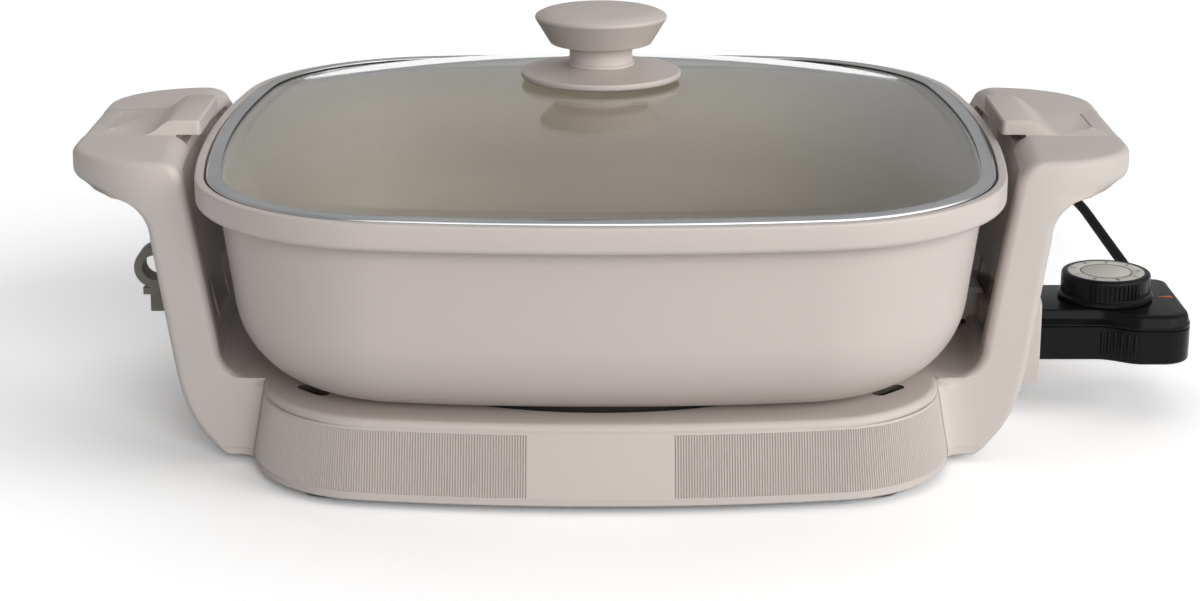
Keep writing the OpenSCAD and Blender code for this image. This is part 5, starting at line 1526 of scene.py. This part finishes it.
@dataclass
class Studio:
    """The pale floor, the soft lamps and the camera."""

    lens: float = 77.2
    height: float = 0.3597
    distance: float = 1.073
    pitch: float = 73.53
    sensor: float = 36.0
    shift: float = -1 / 1200
    far_end: float = 50.0
    floor_size: float = 14.0
    glow: float = 0.16
    mirrored_glow: float = 0.34
    bounce: float = 0.42
    floor_gain: float = 1.46
    floor_lift: float = 0.05
    shine_core: float = 16.0
    shine_edge: float = 50.0
    lamps: tuple[Lamp, ...] = (Lamp("front_lamp", 15.0, 18.0, 40.0, 1.75, 1.5),
                               Lamp("side_lamp", 68.0, 20.0, 40.0, 1.55, 1.3),
                               Lamp("top_lamp", 175.0, 56.0, 70.0, 0.75, 0.1))

    def build_camera(self) -> None:
        """Sets the camera in front of the skillet."""
        data = bpy.data.cameras.new("studio_camera")
        data.lens = self.lens
        data.sensor_width = self.sensor
        data.shift_x = self.shift
        data.clip_end = self.far_end
        camera = placed("studio_camera", data)
        camera.location = (0.0, -self.distance, self.height)
        camera.rotation_euler = (math.radians(self.pitch), 0.0, 0.0)
        bpy.context.scene.camera = camera

    @staticmethod
    def seen(nodes: Nodes) -> Socket:
        """Returns 1 where a surface is seen itself, in a mirror or through glass, and 0 for its light."""
        path = nodes.add("LightPath").outputs
        ways = nodes.maths("MAXIMUM", path["Is Camera Ray"], path["Is Transmission Ray"])
        ways = nodes.maths("MAXIMUM", ways, path["Is Glossy Ray"])
        return nodes.maths("MULTIPLY", ways, nodes.maths("LESS_THAN", path["Diffuse Depth"], 0.5))

    def build_world(self) -> None:
        """Makes a plain surround that shows white, lights at a softer level and mirrors as soft glows."""
        world = bpy.data.worlds.new("studio_world")
        bpy.context.scene.world = world
        world.use_nodes = True
        nodes = Nodes(world.node_tree)
        seen = self.seen(nodes)
        mirrored = nodes.maths("MULTIPLY", nodes.add("LightPath").outputs["Is Glossy Ray"], seen)
        toward = nodes.add("TexCoord").outputs["Generated"]
        shine: Socket | float = self.mirrored_glow - 1.0
        edge, core = (math.cos(math.radians(angle)) for angle in (self.shine_edge, self.shine_core))
        for lamp in self.lamps:
            near = nodes.add("VectorMath", toward, lamp.toward, operation="DOT_PRODUCT").outputs["Value"]
            shine = nodes.maths("ADD", shine, nodes.span(near, 0.0, lamp.shine, edge, core))
        shine = nodes.maths("MULTIPLY", mirrored, shine)
        strength = nodes.maths("ADD", nodes.span(seen, self.glow, 1.0), shine)
        nodes.add("OutputWorld", nodes.add("Background", Color=(1, 1, 1, 1), Strength=strength))

    def build_floor(self) -> None:
        """Lays a pale floor that keeps the skillet's shadow."""
        deselect()
        bpy.ops.mesh.primitive_plane_add(size=self.floor_size, location=(0, 2.0, 0))
        floor = bpy.context.object
        floor.name = "studio_floor"
        material, nodes = new_material("studio_floor")
        seen = self.seen(nodes)
        matt = nodes.add("BsdfDiffuse", Color=nodes.span(seen, self.bounce, self.floor_gain))
        lift = nodes.add("Emission", Strength=nodes.span(seen, 0.0, self.floor_lift))
        nodes.add("OutputMaterial", nodes.add("AddShader", matt, lift))
        floor.data.materials.append(material)

    def build(self) -> None:
        """Sets up the whole studio."""
        self.build_camera()
        self.build_world()
        self.build_floor()
        for lamp in self.lamps:
            lamp.hang()
        bpy.context.scene.view_settings.view_transform = "Standard"


def main() -> None:
    """Builds the studio and then the skillet, one sub-assembly at a time."""
    logging.basicConfig(level=logging.INFO, format="%(name)s: %(message)s")
    dresser = Dresser()
    base = Base()
    Studio().build()
    for assembly in (Cord(), Pan(), Lid(), base, Handles(base), HeatControl()):
        assembly.build(dresser)
        LOG.info("%s is done", type(assembly).__name__)


if __name__ == "__main__":
    main()
